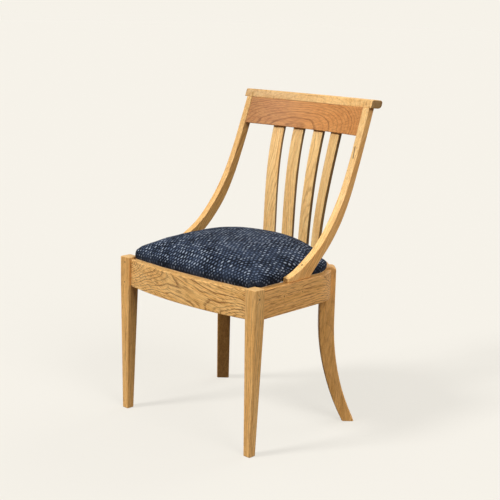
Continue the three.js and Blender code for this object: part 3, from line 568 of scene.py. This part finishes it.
FRAME_OAK = Oak("Lacquered oak", "#F2C07A", "#DFA75E", "#7E4A1E", "#CFA870")
RAIL_OAK = Oak("Lacquered oak of the front rail", "#F8C982", "#E5AE64", "#7E4A1E")
SIDE_OAK = Oak(
    "Lacquered oak of the sides", "#F2B86F", "#E0A65C", "#80491D", "#C2955C", contrast=0.7
)
# The rear left leg's darker stock is painted shade, for the shade under the seat.
SHADED_REAR_OAK = Oak("Lacquered oak with painted shade", "#C28E4B", "#AD7A3B", "#633A18", contrast=0.7)
# The edges tints of the stiles and slats paint shade on their faces that look left and right,
# darkest on the slats.
STILE_OAK = Oak(
    "Pale lacquered oak", "#FACF8A", "#EDBB72", "#9A6630", "#A97B4C", edges="#F9EADC"
)
SHADY_OAK = Oak(
    "Pale lacquered oak, edges darker", "#F0C27D", "#E3AF68", "#8F5C2A", edges="#D3CEC4"
)
CAP_OAK = Oak("Lacquered oak of the cap", "#F0C381", "#E2AF69", "#8A5726", "#4E331A")
SLAT_OAK = Oak(
    "Lacquered oak of the slats", "#F8D08E", "#EBB873", "#9B6733", ticks=0.4, edges="#958D7E"
)
CREST_OAK = Oak("Warm lacquered oak", "#D4924F", "#C68242", "#7C4719", contrast=0.75, ticks=0.35)
BLOCK_OAK = Oak("Bare oak", "#CDA26C", "#BE9159", "#94683A", roughness=0.7)


# Other finishes


@dataclass(frozen=True)
class BirchPly:
    """Birch plywood, sanded and bare: pale faces with faint long figure and striped edges.

    Attributes:
        name: The material's name.
        face: Colour of a face.
        figure: The face's darker figure.
        core: The veneers that show their end grain at an edge.
        veneer: Thickness of a veneer.
        stretch: Features of the figure in a metre, along the face grain and across it.
    """

    name: str = "Bare birch plywood"
    face: str = "#D9BE92"
    figure: str = "#C9A874"
    core: str = "#9C7648"
    veneer: float = 1.5 * MM
    stretch: Place = (5.0, 60.0, 60.0)

    def shader(self, add: Adder) -> Socket:
        """Builds the shader.

        Args:
            add: Adds a node to the material.

        Returns:
            The shader.
        """
        here = add("TexCoord", out="Object")
        long = add("VectorMath.MULTIPLY", here, self.stretch)
        figure = add("TexNoise", long, Scale=1.0, Detail=4.0)
        face = add("Mix", figure, linear(self.face), linear(self.figure))
        rise = add("SeparateXYZ", here, out="Z")
        stripe = add("Math.FRACT", add("Math.DIVIDE", rise, 2 * self.veneer))
        stripe = add("MapRange", stripe, 0.4, 0.6)
        edge = add("Mix", stripe, linear(self.face), linear(self.core))
        up = add("SeparateXYZ", add("TexCoord", out="Normal"), out="Z")
        flat = add("MapRange", add("Math.ABSOLUTE", up), 0.4, 0.8)
        return add(
            "BsdfPrincipled",
            Base_Color=add("Mix", flat, edge, face),
            Roughness=0.75,
            Normal=add("Bump", 0.2, 0.2 * MM, Height=figure),
        )


@dataclass(frozen=True)
class ZincSteel:
    """Steel with a bright zinc plating, a little cloudy and scuffed by the driver.

    Attributes:
        name: The material's name.
        colour: The plating.
        cloud: The plating where it is dull.
        grain: Clouds in a metre.
    """

    name: str = "Zinc plated steel"
    colour: str = "#B8B9B6"
    cloud: str = "#8F9290"
    grain: float = 600.0

    def shader(self, add: Adder) -> Socket:
        """Builds the shader.

        Args:
            add: Adds a node to the material.

        Returns:
            The shader.
        """
        here = add("TexCoord", out="Object")
        cloud = add("TexNoise", here, Scale=self.grain, Detail=3.0)
        dull = add("MapRange", cloud, 0.4, 0.7)
        return add(
            "BsdfPrincipled",
            Base_Color=add("Mix", dull, linear(self.colour), linear(self.cloud)),
            Roughness=add("MapRange", cloud, 0.3, 0.7, 0.3, 0.5),
            Metallic=1.0,
        )


@dataclass(frozen=True)
class Tweed:
    """Heavy wool tweed, woven of dark navy and slubby grey-blue yarn.

    Over a ground of small rounded knuckles lie rows of longer ones of a thicker yarn, some of them
    much paler where a slub comes to the face. It is matt, with a faint bloom of fibre.

    Attributes:
        name: The cloth's name.
        navy: The ground yarn.
        ink: The gaps between yarns.
        fleck: Knuckles of the paler yarn.
        pale: The brightest slubs.
        bloom: The fibres that stand up from the cloth.
        repeat: Spacing of the pale knuckles along a row and from row to row. Real ones are about
            8 and 5 mm, and are drawn coarser to show.
        slant: How far a knuckle leans, in repeats along the row for one row.
        narrow: How much narrower a knuckle is along the row than across it, in repeats.
        drift: How far the rows wave from side to side.
        cloud: Waves and clouds of the cloth in a metre.
        slubs: Thick places of the yarn in a metre, along a row and across it.
        shade: Heights between which the painted shade low on the pad's sides gives way to the full
            cloth.
    """

    name: str = "Navy wool tweed"
    navy: str = "#171D29"
    ink: str = "#04060A"
    fleck: str = "#5C6A84"
    pale: str = "#AFBACA"
    bloom: str = "#6C7A96"
    repeat: Pair = (10.5 * MM, 9 * MM)
    slant: float = 0.15
    narrow: float = 1.9
    drift: float = 9 * MM
    cloud: Pair = (38.0, 16.0)
    slubs: Pair = (60.0, 260.0)
    shade: Pair = (0.441, 0.460)

    def cells(self, add: Adder, cloth: Socket, repeat: Pair) -> tuple[Socket, Socket, Socket]:
        """Divides the cloth into cells, one for each knuckle, with each row half a cell along.

        Args:
            add: Adds a node to the material.
            cloth: Place on the cloth in metres.
            repeat: Size of a cell along the row and across it.

        Returns:
            The cell's number as a vector, and the place in it from its middle, along and across.
        """
        across = add("Math.DIVIDE", add("SeparateXYZ", cloth, out="Y"), repeat[1])
        row = add("Math.FLOOR", across)
        along = add("Math.DIVIDE", add("SeparateXYZ", cloth, out="X"), repeat[0])
        along = add("Math.MULTIPLY_ADD", row, 0.5, along)
        cell = add("CombineXYZ", add("Math.FLOOR", along), row)
        inside = (add("Math.SUBTRACT", add("Math.FRACT", v), 0.5) for v in (along, across))
        return cell, *inside

    def knuckle(self, add: Adder, along: Socket, across: Socket, reach: Pair) -> Socket:
        """Draws a rounded knuckle in its cell, 1 in its core and 0 beyond its edge."""
        away = add("VectorMath.LENGTH", add("CombineXYZ", along, across))
        return add("MapRange", away, *reach)

    def shader(self, add: Adder) -> Socket:
        """Builds the shader, which follows the pad's UV map in metres.

        Args:
            add: Adds a node to the material.

        Returns:
            The shader.
        """
        cloth = add("UVMap", uv_map="cloth")
        drift = add("TexNoise", cloth, Scale=self.cloud[0], Detail=2.0, out="Color")
        drift = add("VectorMath.SUBTRACT", drift, HALF)
        drift = add("VectorMath.MULTIPLY", drift, (self.drift, self.drift, 0))
        cloth = add("VectorMath.ADD", cloth, drift)

        _, *inside = self.cells(add, cloth, tuple(size / 3 for size in self.repeat))
        ground = self.knuckle(add, *inside, (0.62, 0.12))

        cell, along, across = self.cells(add, cloth, self.repeat)
        chance = add("TexWhiteNoise", cell, noise_dimensions="2D")
        jitter = add("VectorMath.SUBTRACT", chance.node.outputs["Color"], HALF)
        jitter = add("SeparateXYZ", jitter).node.outputs
        along = add("Math.MULTIPLY_ADD", jitter[0], 0.16, along)
        across = add("Math.MULTIPLY_ADD", jitter[1], 0.22, across)
        along = add("Math.MULTIPLY_ADD", across, -self.slant, along)
        along = add("Math.MULTIPLY", along, self.narrow)
        slub = self.knuckle(add, along, across, (0.50, 0.16))

        broad = add("TexNoise", cloth, Scale=self.cloud[1], Detail=3.0)
        streak = add("VectorMath.MULTIPLY", cloth, (*self.slubs, 1.0))
        streak = add("TexNoise", streak, Scale=1.0, Detail=2.0)
        luck = add("Math.MULTIPLY_ADD", broad, 0.8, add("Math.ADD", chance, streak))
        rise = add("SeparateXYZ", add("TexCoord", out="Object"), out="Z")
        # Painted shade: fewer pale knuckles low on the sides darken them, as if in shade.
        slub = add("Math.MULTIPLY", slub, add("MapRange", rise, *self.shade, 0.35, 1.0))
        grey = add("Math.MULTIPLY", slub, add("MapRange", luck, 0.45, 1.35))
        bright = add("Math.MULTIPLY", slub, add("MapRange", luck, 1.25, 1.95))
        misty = add("MapRange", broad, 0.35, 0.7, 0.0, 0.22)
        tone = linear(self.ink)
        colours = (self.navy, self.fleck, self.fleck, self.pale)
        for share, colour in zip((ground, misty, grey, bright), colours):
            tone = add("Mix", share, tone, linear(colour))
        hair = add("TexNoise", cloth, Scale=2600.0, Detail=2.0)
        tone = add("VectorMath.SCALE", tone, add("MapRange", hair, 0.3, 0.7, 0.75, 1.2))
        height = add("Math.MULTIPLY_ADD", slub, 0.8, add("Math.MULTIPLY_ADD", hair, 0.12, ground))
        return add(
            "BsdfPrincipled",
            Base_Color=tone,
            Roughness=0.92,
            Specular_IOR_Level=0.08,
            Sheen_Weight=0.07,
            Sheen_Roughness=0.5,
            Sheen_Tint=linear(self.bloom),
            Normal=add("Bump", 0.8, 1.2 * MM, Height=height),
        )


# The chair's assemblies


def smooth_curves(piece: Piece, crease: float) -> None:
    """Shades a solid's curved faces smooth, with its creases and flats kept.

    Args:
        piece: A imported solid, whose own mesh stays as it is.
        crease: Least angle, in radians, at which two faces meet in a crease.
    """
    piece.modifiers.new("weld", "WELD").merge_threshold = WELD
    run_group(piece, "shade", shade_tree(), Crease=crease)
    weighted = piece.modifiers.new("normals", "WEIGHTED_NORMAL")
    weighted.keep_sharp = True
    weighted.mode = "FACE_AREA"


def shade_tree() -> Tree:
    """Finds or builds the group that marks creases by angle and shades the rest smooth.

    Returns:
        The group.
    """
    name = "Shade by angle"
    if name in bpy.data.node_groups:
        return bpy.data.node_groups[name]
    tree, add, given = geometry_group(name, Geometry="Geometry", Crease="Float")
    angle = add("GeometryNodeInputMeshEdgeAngle")
    soft = add("FunctionNodeCompare.LESS_THAN", angle, given["Crease"])
    smooth = given["Geometry"]
    for domain, wanted in (("FACE", True), ("EDGE", soft)):
        kind = "GeometryNodeSetShadeSmooth"
        smooth = add(kind, smooth, Shade_Smooth=wanted, domain=domain)
    add("NodeGroupOutput", smooth)
    return tree


@dataclass
class Woodwork:
    """A set of wooden pieces that keep their solids.

    Attributes:
        title: The sub-assembly's name.
        stock: The finish of each node.
        boards: The blank of each node.
        crease: Least angle of a crease, in degrees.
    """

    title: str
    stock: dict[str, Oak]
    boards: dict[str, Board]
    crease: float = 40.0

    def dress(self) -> None:
        """Gives every node of the set its own board of oak."""
        for node, board in self.boards.items():
            piece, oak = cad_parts[node], self.stock[node]
            low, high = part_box(node)
            words = node.replace("_", " ")
            build = partial(oak.shader, board, (low + high) / 2)
            dress(piece, made_of(f"{oak.name}, {words}", build))
            smooth_curves(piece, math.radians(self.crease))
            log.info("%s: %s", self.title, words)


def seat_frame() -> Woodwork:
    """The legs and rails that carry the seat.

    Returns:
        The set.
    """
    right_knots = (Knot((0.2555, -0.243, 0.411), 3 * MM),)
    left_spots = ((-0.237, -0.2589, 0.4205), (-0.239, -0.2589, 0.364))
    left_knots = tuple(Knot(spot, 2.2 * MM) for spot in left_spots)
    side_knots = (Knot((0.247, -0.143, 0.400), 2.6 * MM), Knot((0.245, -0.071, 0.400), 2.2 * MM))
    boards = {
        "front_leg_right": Board((0.01, 0.015, 1), (-0.05, 0.045, 0), knots=right_knots),
        "front_leg_left": Board((0.012, -0.01, 1), (0.06, 0.05, 0), knots=left_knots),
        "rear_leg_right": Board((0.03, 0.09, 1), (-0.08, 0.02, 0)),
        "rear_leg_left": Board((-0.03, 0.09, 1), (0.08, 0.02, 0)),
        "front_rail": Board((1, 0.05, -0.24), (0, 0.05, 0.012), Cut.FLAT, (0.02, 0.03), 24 * MM),
        "side_rail_right": Board(
            (-0.02, 1, 0.03), (-0.05, 0, 0.05), Cut.FLAT, wander=9 * MM, knots=side_knots
        ),
        "side_rail_left": Board((0.02, 1, -0.03), (0.05, 0, 0.05), Cut.FLAT, wander=9 * MM),
        "rear_rail": Board((1, 0.0, 0.03), (0, -0.06, -0.03), Cut.FLAT),
    }
    stock = dict.fromkeys(boards, FRAME_OAK)
    stock |= dict.fromkeys(("side_rail_right", "side_rail_left", "rear_leg_right"), SIDE_OAK)
    stock |= {"rear_leg_left": SHADED_REAR_OAK, "front_rail": RAIL_OAK}
    return Woodwork("Seat frame", stock, boards)


def chair_back() -> Woodwork:
    """The stiles, slats, crest board and cap.

    Returns:
        The set.
    """
    streak = Knot((0.2138, 0.1577, 0.751), 1.9 * MM, tail=(0.217, 0.147, 0.723))
    marks = (streak, Knot((0.2288, -0.0585, 0.465), 3.2 * MM))
    boards = {
        "back_stile_right": Board((-0.03, 0.62, 0.78), (-0.07, 0.01, 0.01), knots=marks),
        "back_stile_left": Board((0.03, 0.60, 0.80), (0.07, 0.01, -0.01)),
        "cap_rail": Board((1, 0.01, 0.012), (0, 0.06, -0.05), Cut.QUARTER, fade=0.25),
        "crest_board": Board(
            (1, 0.09, 0.03), (0, 0.062, -0.060), Cut.FLAT, wander=6 * MM, fade=0.26
        ),
    }
    dowels = [f"stile_dowel_{n}_{side}" for n in (1, 2) for side in ("right", "left")]
    boards |= dict.fromkeys(dowels, Board((0, 0, 1), (0.01, 0, 0)))
    stock = dict.fromkeys(boards, STILE_OAK)
    stock |= {"crest_board": CREST_OAK, "cap_rail": CAP_OAK, "back_stile_left": SHADY_OAK}
    hearts = ((0.034, 0.05, 0), (-0.04, 0.045, 0), (0.03, 0.055, 0), (-0.036, 0.05, 0))
    for number, heart in enumerate(hearts, start=1):
        boards[f"slat_{number}"] = Board((0.01 * number, 0.2, 1.0), heart)
        stock[f"slat_{number}"] = SLAT_OAK
    return Woodwork("Chair back", stock, boards)


def corner_blocks() -> Woodwork:
    """The blocks that hold the corners under the seat.

    Returns:
        The set.
    """
    boards = {}
    for place, first in (("front", 1), ("rear", -1)):
        for side, turn in (("right", first), ("left", -first)):
            boards[f"{place}_block_{side}"] = Board((1, turn, 0), (0, 0, 0.04))
    return Woodwork("Corner blocks", dict.fromkeys(boards, BLOCK_OAK), boards)


@dataclass
class Hardware:
    """The screws that hold the blocks, the legs and the seat."""

    steel: ZincSteel = field(default_factory=ZincSteel)

    def dress(self) -> None:
        """Plates every screw."""
        plated = made_of(self.steel.name, self.steel.shader)
        for name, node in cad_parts.items():
            if "screw" in name:
                dress(node, plated)
        log.info("Hardware: screws")


@dataclass
class TurnedHem:
    """The cover's edge, turned under the board and stapled, as it shows inside the rails.

    Attributes:
        steel: The staples' finish.
        width: How far the hem reaches in from the rails and blocks.
        thick: Thickness of the folded cloth.
        gap: Least gap between the folded cloth and the board.
        room: Gap to the rails and blocks.
        steps: Places round the opening at which its edge is looked for.
        line: Where the staples stand, as a share of the way in from the hem's outer edge.
        pitch: Spacing of the staples.
        crown: Length of a staple across its legs.
        wire: Radius of its wire.
        skew: Most that a staple stands askew, in radians.
        seed: Seed of the askew ones.
    """

    steel: ZincSteel = field(default_factory=ZincSteel)
    width: float = 21 * MM
    thick: float = 1.3 * MM
    gap: float = 0.05 * MM
    room: float = 1.2 * MM
    steps: int = 240
    line: float = 0.6
    pitch: float = 24 * MM
    crown: float = 10 * MM
    wire: float = 0.45 * MM
    skew: float = 0.22
    seed: int = 7

    def opening(self) -> list[tuple[Vector, Vector]]:
        """Looks from the seat's middle for what stands round it.

        Returns:
            The hem's outer and inner edge, as one pair of points for each direction.
        """
        around = bmesh.new()
        for name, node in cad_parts.items():
            if any(word in name for word in ("rail", "leg", "block")) and "screw" not in name:
                around.from_mesh(node.data)
        tree = BVHTree.FromBMesh(around)
        around.free()
        low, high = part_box("seat_board")
        centre = (low + high) / 2
        centre.z = low.z - self.thick
        count = self.steps
        angles = [math.tau * step / count for step in range(count)]
        ways = [Vector((math.cos(angle), math.sin(angle), 0)) for angle in angles]
        reach = [tree.ray_cast(centre, way)[3] - self.room for way in ways]
        clear = [min(reach[(i + k) % count] for k in (-1, 0, 1)) for i in range(count)]
        even = [sum(clear[(i + k) % count] for k in range(-3, 4)) / 7 for i in range(count)]
        inner = [min(a, b) - self.width for a, b in zip(clear, even)]
        return [(centre + w * a, centre + w * b) for w, a, b in zip(ways, clear, inner)]

    def cloth(self, piece: Piece) -> None:
        """Adds the hem to the pad's skin, because both are the same cloth.

        Args:
            piece: The pad.
        """
        made = bmesh.new()
        made.from_mesh(piece.data)
        layer = made.loops.layers.uv["cloth"]
        rise = Vector((0, 0, self.thick - self.gap))
        rows = []
        for outer, inner in self.opening():
            corners = (outer, inner, inner + rise, outer + rise)
            rows.append([made.verts.new(corner) for corner in corners])
        for this, after in zip(rows, rows[1:] + rows[:1]):
            for k in range(4):
                face = made.faces.new((this[k], this[(k + 1) % 4], after[(k + 1) % 4], after[k]))
                for loop in face.loops:
                    loop[layer].uv = loop.vert.co.xy
        made.to_mesh(piece.data)
        made.free()

    def tree(self, plated: Material) -> Tree:
        """Builds the node group that drives a staple at each step of a path.

        Args:
            plated: The staples' material.

        Returns:
            The group, with its inputs for spacing, crown, wire, skew and seed.
        """
        sizes = dict.fromkeys(("Spacing", "Crown", "Wire", "Skew"), "Float")
        inputs = {"Path": "Geometry", **sizes, "Seed": "Int"}
        tree, add, given = geometry_group("Staples on a path", **inputs)
        curve = add("GeometryNodeMeshToCurve", given["Path"])
        places = add("GeometryNodeResampleCurve", curve, Length=given["Spacing"], mode="LENGTH")

        # A staple's legs dip into the board and its crown stands a little proud of the cloth.
        half = add("Math.MULTIPLY", given["Crown"], 0.5)
        ends = [add("Math.MULTIPLY", half, side) for side in (-1, 1)]
        dip, drop = (add("Math.MULTIPLY", given["Wire"], turns) for turns in (1.5, -1.5))
        corners = ((ends[0], dip), (ends[0], drop), (ends[1], drop), (ends[1], dip))
        corners = [add("CombineXYZ", X=x, Z=z) for x, z in corners]
        bent = add("GeometryNodeCurvePrimitiveBezierSegment", 8, *corners)
        round_wire = add("GeometryNodeCurvePrimitiveCircle", 6, Radius=given["Wire"])
        staple = add("GeometryNodeCurveToMesh", bent, round_wire, Fill_Caps=True)

        tangent = add("GeometryNodeInputTangent")
        along = add("FunctionNodeAlignRotationToVector", Vector=tangent, axis="X")
        least = add("Math.MULTIPLY", given["Skew"], -1)
        askew = add("FunctionNodeRandomValue", least, given["Skew"], Seed=given["Seed"])
        askew = add("FunctionNodeEulerToRotation", add("CombineXYZ", Z=askew))
        turn = add("FunctionNodeRotateRotation", along, askew, rotation_space="LOCAL")
        driven = add("GeometryNodeInstanceOnPoints", places, Instance=staple, Rotation=turn)
        real = add("GeometryNodeRealizeInstances", driven)
        add("NodeGroupOutput", add("GeometryNodeSetMaterial", real, Material=plated))
        return tree

    def staples(self) -> Piece:
        """Drives the staples along the hem.

        Returns:
            The staples, as one piece.
        """
        path = bmesh.new()
        row = [path.verts.new(outer.lerp(inner, self.line)) for outer, inner in self.opening()]
        for pair in zip(row, row[1:] + row[:1]):
            path.edges.new(pair)
        piece = piece_from("hem_staples", path)
        plated = made_of(self.steel.name, self.steel.shader)
        sizes = {"Spacing": self.pitch, "Crown": self.crown, "Wire": self.wire}
        sizes |= {"Skew": self.skew, "Seed": self.seed}
        run_group(piece, "staples", self.tree(plated), **sizes)
        settle(piece)
        dress(piece, plated)
        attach(piece, BODY)
        log.info("Turned hem: staples of %d faces", len(piece.data.polygons))
        return piece


@dataclass
class SeatPad:
    """The upholstered pad on its plywood board.

    Attributes:
        cover: The cloth.
        ply: The board's finish.
        hem: The cover's edge under the board.
        voxel: Size of the remeshed skin's cells.
        start: How far inside the solid the skin starts before it swells.
        stiffness: The cloth's resistance to tension, compression, shear and bending.
        mass: Mass of each of its points, in kilograms.
        pressure: Air pressure of the cloth simulation.
        quality: Its substeps.
        frames: Its steps.
        easing: Passes of smoothing, before the skin is drawn tight and after.
        taut: How far the cover may stand inside and outside the solid at the board's edge.
        free: The same at the crown.
        edge: Height of the board's edge under the cover.
        shoulder: Height from which the cloth's pattern runs down the sides.
        flat: Height within which the skin counts as its underside.
        room: Gap between the board and the skin's recess.
        below: How far the recess's cutter stands out under the skin.
        node: The solid that the pad replaces.
        board: The plywood board's node.
    """

    cover: Tweed = field(default_factory=Tweed)
    ply: BirchPly = field(default_factory=BirchPly)
    hem: TurnedHem = field(default_factory=TurnedHem)
    voxel: float = 5 * MM
    start: float = 2 * MM
    stiffness: tuple[float, float, float, float] = (20, 20, 10, 2)
    mass: float = 0.3
    pressure: float = 4.0
    quality: int = 5
    frames: int = 20
    easing: tuple[int, int] = (6, 2)
    taut: Pair = (-0.4 * MM, 0.3 * MM)
    free: Pair = (-2.5 * MM, 2.5 * MM)
    edge: float = 14 * MM
    shoulder: float = 30 * MM
    flat: float = 3 * MM
    room: float = 0.3 * MM
    below: float = 5 * MM
    node: str = "seat_cushion"
    board: str = "seat_board"

    def closed_skin(self) -> bmesh.types.BMesh:
        """Copies the solid with the board's recess closed over, as one skin.

        Returns:
            The copy.
        """
        made = merged_copy(self.node)
        made.normal_update()
        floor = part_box(self.node)[0].z
        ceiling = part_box(self.board)[1].z + self.flat
        heights = [face.calc_center_median().z for face in made.faces if face.normal.z < -0.99]
        roof = max(height for height in heights if height < ceiling)
        if roof > floor + self.flat:
            rim = {vert for vert in made.verts if abs(vert.co.z - roof) < WELD}
            recess = [face for face in made.faces if not rim.isdisjoint(face.verts)]
            bmesh.ops.delete(made, geom=recess, context="FACES")
            bmesh.ops.holes_fill(made, edges=[edge for edge in made.edges if edge.is_boundary])
            bmesh.ops.recalc_face_normals(made, faces=made.faces)
        return made

    def blank(self) -> Piece:
        """Makes the closed skin that the pad swells from.

        Returns:
            The skin.
        """
        piece = piece_from("seat_pad", self.closed_skin())
        modify(piece, "REMESH", mode="VOXEL", voxel_size=self.voxel)
        for vert in piece.data.vertices:
            vert.co -= vert.normal * self.start
        return piece

    def inflate(self, piece: Piece) -> None:
        """Swells the skin as cloth under pressure, with its flat underside held.

        Args:
            piece: The closed skin.
        """
        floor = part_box(self.node)[0].z
        held = piece.vertex_groups.new(name="held")
        low = [v.index for v in piece.data.vertices if v.co.z < floor + self.flat + self.start]
        held.add(low, 1.0, "REPLACE")
        values = piece.modifiers.new("cloth", "CLOTH").settings
        for way, stiff in zip(("tension", "compression", "shear", "bending"), self.stiffness):
            setattr(values, f"{way}_stiffness", stiff)
        values.quality = self.quality
        values.mass = self.mass
        values.use_pressure = True
        values.uniform_pressure_force = self.pressure
        values.vertex_group_mass = "held"
        values.effector_weights.gravity = 0
        scene = bpy.context.scene
        for moment in range(1, self.frames + 1):
            scene.frame_set(moment)
        settle(piece)
        scene.frame_set(1)
        piece.vertex_groups.clear()

    def hug(self, piece: Piece) -> None:
        """Draws the skin to the solid: taut over the board's edge, and freer towards the crown.

        Args:
            piece: The skin.
        """
        shell = self.closed_skin()
        tree = BVHTree.FromBMesh(shell)
        shell.free()
        low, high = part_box(self.node)
        for vert in piece.data.vertices:
            spot, normal, _, _ = tree.find_nearest(vert.co)
            way = (vert.co.z - low.z - self.edge) / (high.z - low.z - self.edge)
            way = min(1.0, max(0.0, way))
            least, most = (a + (b - a) * way for a, b in zip(self.taut, self.free))
            out = (vert.co - spot).dot(normal)
            vert.co = spot + normal * min(max(out, least), most)
            if normal.z < -0.9:
                vert.co.z = low.z

    def recess(self, piece: Piece) -> None:
        """Cuts the board's room out of the skin's underside.

        Args:
            piece: The swollen skin.
        """
        board = merged_copy(self.board)
        low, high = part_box(self.board)
        middle, half = (low + high) / 2, (high - low) / 2
        grow = Matrix.Diagonal((*(1 + self.room / size for size in half), 1.0))
        board.transform(Matrix.Translation(middle) @ grow @ Matrix.Translation(-middle))
        for vert in board.verts:
            if vert.co.z < middle.z:
                vert.co.z -= self.below
        cutter = piece_from("recess", board)
        modify(piece, "BOOLEAN", operation="DIFFERENCE", solver="EXACT", object=cutter)
        bpy.data.objects.remove(cutter)

    def lay_cloth(self, piece: Piece) -> None:
        """Gives the skin a UV map in metres that runs over the top and down the sides.

        Args:
            piece: The finished skin.
        """
        mesh = piece.data
        places = np.array([vert.co[:] for vert in mesh.vertices])
        flat = np.array([vert.normal[:2] for vert in mesh.vertices])
        down = np.clip(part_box(self.node)[0].z + self.shoulder - places[:, 2], 0, None)
        size = np.maximum(np.linalg.norm(flat, axis=1, keepdims=True), 0.2)
        spot = places[:, :2] + flat / size * down[:, None]
        cos, sin = math.cos(CLOTH_TURN), math.sin(CLOTH_TURN)
        spot = spot @ np.array(((cos, sin), (-sin, cos)))
        corners = [loop.vertex_index for loop in mesh.loops]
        layer = mesh.uv_layers.new(name="cloth")
        layer.data.foreach_set("uv", spot[corners].astype(np.float32).ravel())

    def build(self) -> Piece:
        """Builds the pad and dresses it and its board.

        Returns:
            The pad.
        """
        piece = self.blank()
        self.inflate(piece)
        modify(piece, "SMOOTH", iterations=self.easing[0])
        self.hug(piece)
        modify(piece, "SMOOTH", iterations=self.easing[1])
        modify(piece, "SUBSURF", levels=1, render_levels=1)
        self.recess(piece)
        self.lay_cloth(piece)
        for face in piece.data.polygons:
            face.use_smooth = True
        self.hem.cloth(piece)
        self.hem.staples()
        dress(piece, made_of(self.cover.name, self.cover.shader))
        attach(piece, BODY)
        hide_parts(self.node)
        dress(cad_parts[self.board], made_of(self.ply.name, self.ply.shader))
        log.info("Seat pad: %d vertices", len(piece.data.vertices))
        return piece


# Camera and studio


@dataclass(frozen=True)
class PhotoCamera:
    """The camera at the photograph's viewpoint, with its angles in radians.

    Attributes:
        place: Where it stands.
        azimuth: Turn round the vertical.
        elevation: How far it looks down.
        roll: Tilt of the picture.
        focal: Focal length in pixels of the picture.
        clip: Nearest and farthest that it sees.
    """

    place: Place = (2.0235, -2.13056, 1.1078)
    azimuth: float = 0.762794531
    elevation: float = 0.218041685
    roll: float = 0.0228180397
    focal: float = 1095.95
    clip: Pair = (0.05, 200)

    def build(self) -> Piece:
        """Makes the camera and makes it the scene's.

        Returns:
            The camera.
        """
        data = bpy.data.cameras.new("photo_camera")
        data.sensor_width = SENSOR_MM
        data.lens = self.focal / PICTURE_PIXELS * SENSOR_MM
        data.clip_start, data.clip_end = self.clip
        stand = Matrix.Translation(self.place) @ Matrix.Rotation(self.azimuth, 4, "Z")
        stand @= Matrix.Rotation(math.pi / 2 - self.elevation, 4, "X")
        stand @= Matrix.Rotation(self.roll, 4, "Z")
        camera = bpy.data.objects.new("photo_camera", data)
        camera.matrix_world = stand
        bpy.context.scene.collection.objects.link(camera)
        bpy.context.scene.camera = camera
        return camera


@dataclass(frozen=True)
class Lamp:
    """One broad light: the way to it, its strength and the width of its source in degrees."""

    name: str
    way: Place
    strength: float
    width: float

    def build(self) -> None:
        """Makes the lamp."""
        data = bpy.data.lights.new(self.name, "SUN")
        data.energy = self.strength
        data.angle = math.radians(self.width)
        lamp = bpy.data.objects.new(self.name, data)
        lamp.rotation_euler = Vector(self.way).to_track_quat("Z", "Y").to_euler()
        bpy.context.scene.collection.objects.link(lamp)


LAMPS = (
    Lamp("key_light", (-0.30, -0.70, 0.65), 2.55, 14.0),
    Lamp("fill_light", (0.80, -0.15, 0.58), 1.35, 30.0),
    Lamp("back_light", (0.05, 0.82, 0.57), 0.7, 40.0),
)


@dataclass(frozen=True)
class Studio:
    """A plain pale room, lit from the upper left and more weakly from the right and behind.

    Attributes:
        lamps: The lamps.
        paper: The colour of the backdrop and of the floor where no shadow falls.
        floor_tone: What the floor throws back on the chair.
        sky: Strength of the soft light at the horizon and overhead.
        shadow: Share of the floor that answers to light, so that the shadow shows.
        floor_light: Light that falls on the open floor, as a share of a colour's own level.
        reach: Half the floor's width.
        drop: How far the floor lies under the feet.
    """

    lamps: tuple[Lamp, ...] = LAMPS
    paper: str = "#F6F2E9"
    floor_tone: str = "#4E4436"
    sky: Pair = (0.03, 0.58)
    shadow: float = 0.3
    floor_light: float = 1.31
    reach: float = 60.0
    drop: float = 0.5 * MM

    def apart(self, add: Adder, light: Socket, seen: Socket) -> Socket:
        """Parts what is seen from what lights the chair.

        Args:
            add: Adds a node to the tree.
            light: The shader for all light that isn't seen.
            seen: The shader where one looks, directly or in a reflection or through glass.

        Returns:
            The mixed shader.
        """
        path = add("LightPath").node.outputs
        looked = add("Math.MAXIMUM", path["Is Camera Ray"], path["Is Glossy Ray"])
        looked = add("Math.MAXIMUM", looked, path["Is Transmission Ray"])
        return add("MixShader", looked, light, seen)

    def world(self) -> None:
        """Makes the soft light overhead, which shows as the paper's colour."""
        world = bpy.data.worlds.new("studio")
        world.use_nodes = True
        world.node_tree.nodes.clear()
        add = partial(add_node, world.node_tree)
        rise = add("SeparateXYZ", add("TexCoord", out="Generated"), out="Z")
        light = add("Background", (1, 1, 1, 1), add("MapRange", rise, 0.0, 1.0, *self.sky))
        seen = add("Background", linear(self.paper), 1.0)
        add("OutputWorld", self.apart(add, light, seen))
        bpy.context.scene.world = world

    def shader(self, add: Adder) -> Socket:
        """Builds the floor's shader, which keeps the chair's shadow.

        Args:
            add: Adds a node to the floor's material.

        Returns:
            The shader.
        """
        paper = linear(self.paper)
        lit = add("BsdfDiffuse", (*(value / self.floor_light for value in paper[:3]), 1.0))
        shown = add("MixShader", self.shadow, add("Emission", paper, 1.0), lit)
        return self.apart(add, add("BsdfDiffuse", linear(self.floor_tone)), shown)

    def floor(self) -> None:
        """Makes the floor, which is the paper's colour."""
        made = bmesh.new()
        bmesh.ops.create_grid(made, x_segments=2, y_segments=2, size=self.reach)
        piece = piece_from("floor", made)
        piece.location.z = -self.drop
        dress(piece, made_of("Paper floor", self.shader))

    def build(self) -> None:
        """Makes the world, the lamps and the floor, and sets the plain view."""
        self.world()
        for lamp in self.lamps:
            lamp.build()
        self.floor()
        bpy.context.scene.view_settings.view_transform = "Standard"


def note_sizes() -> None:
    bpy.context.view_layer.update()


def main() -> None:
    """Dresses the frame, makes the pad and sets up the studio."""
    logging.basicConfig(level=logging.INFO, format="%(message)s")
    PhotoCamera().build()
    Studio().build()
    for work in (seat_frame(), chair_back(), corner_blocks(), Hardware()):
        work.dress()
    SeatPad().build()
    note_sizes()


if __name__ == "__main__":
    main()
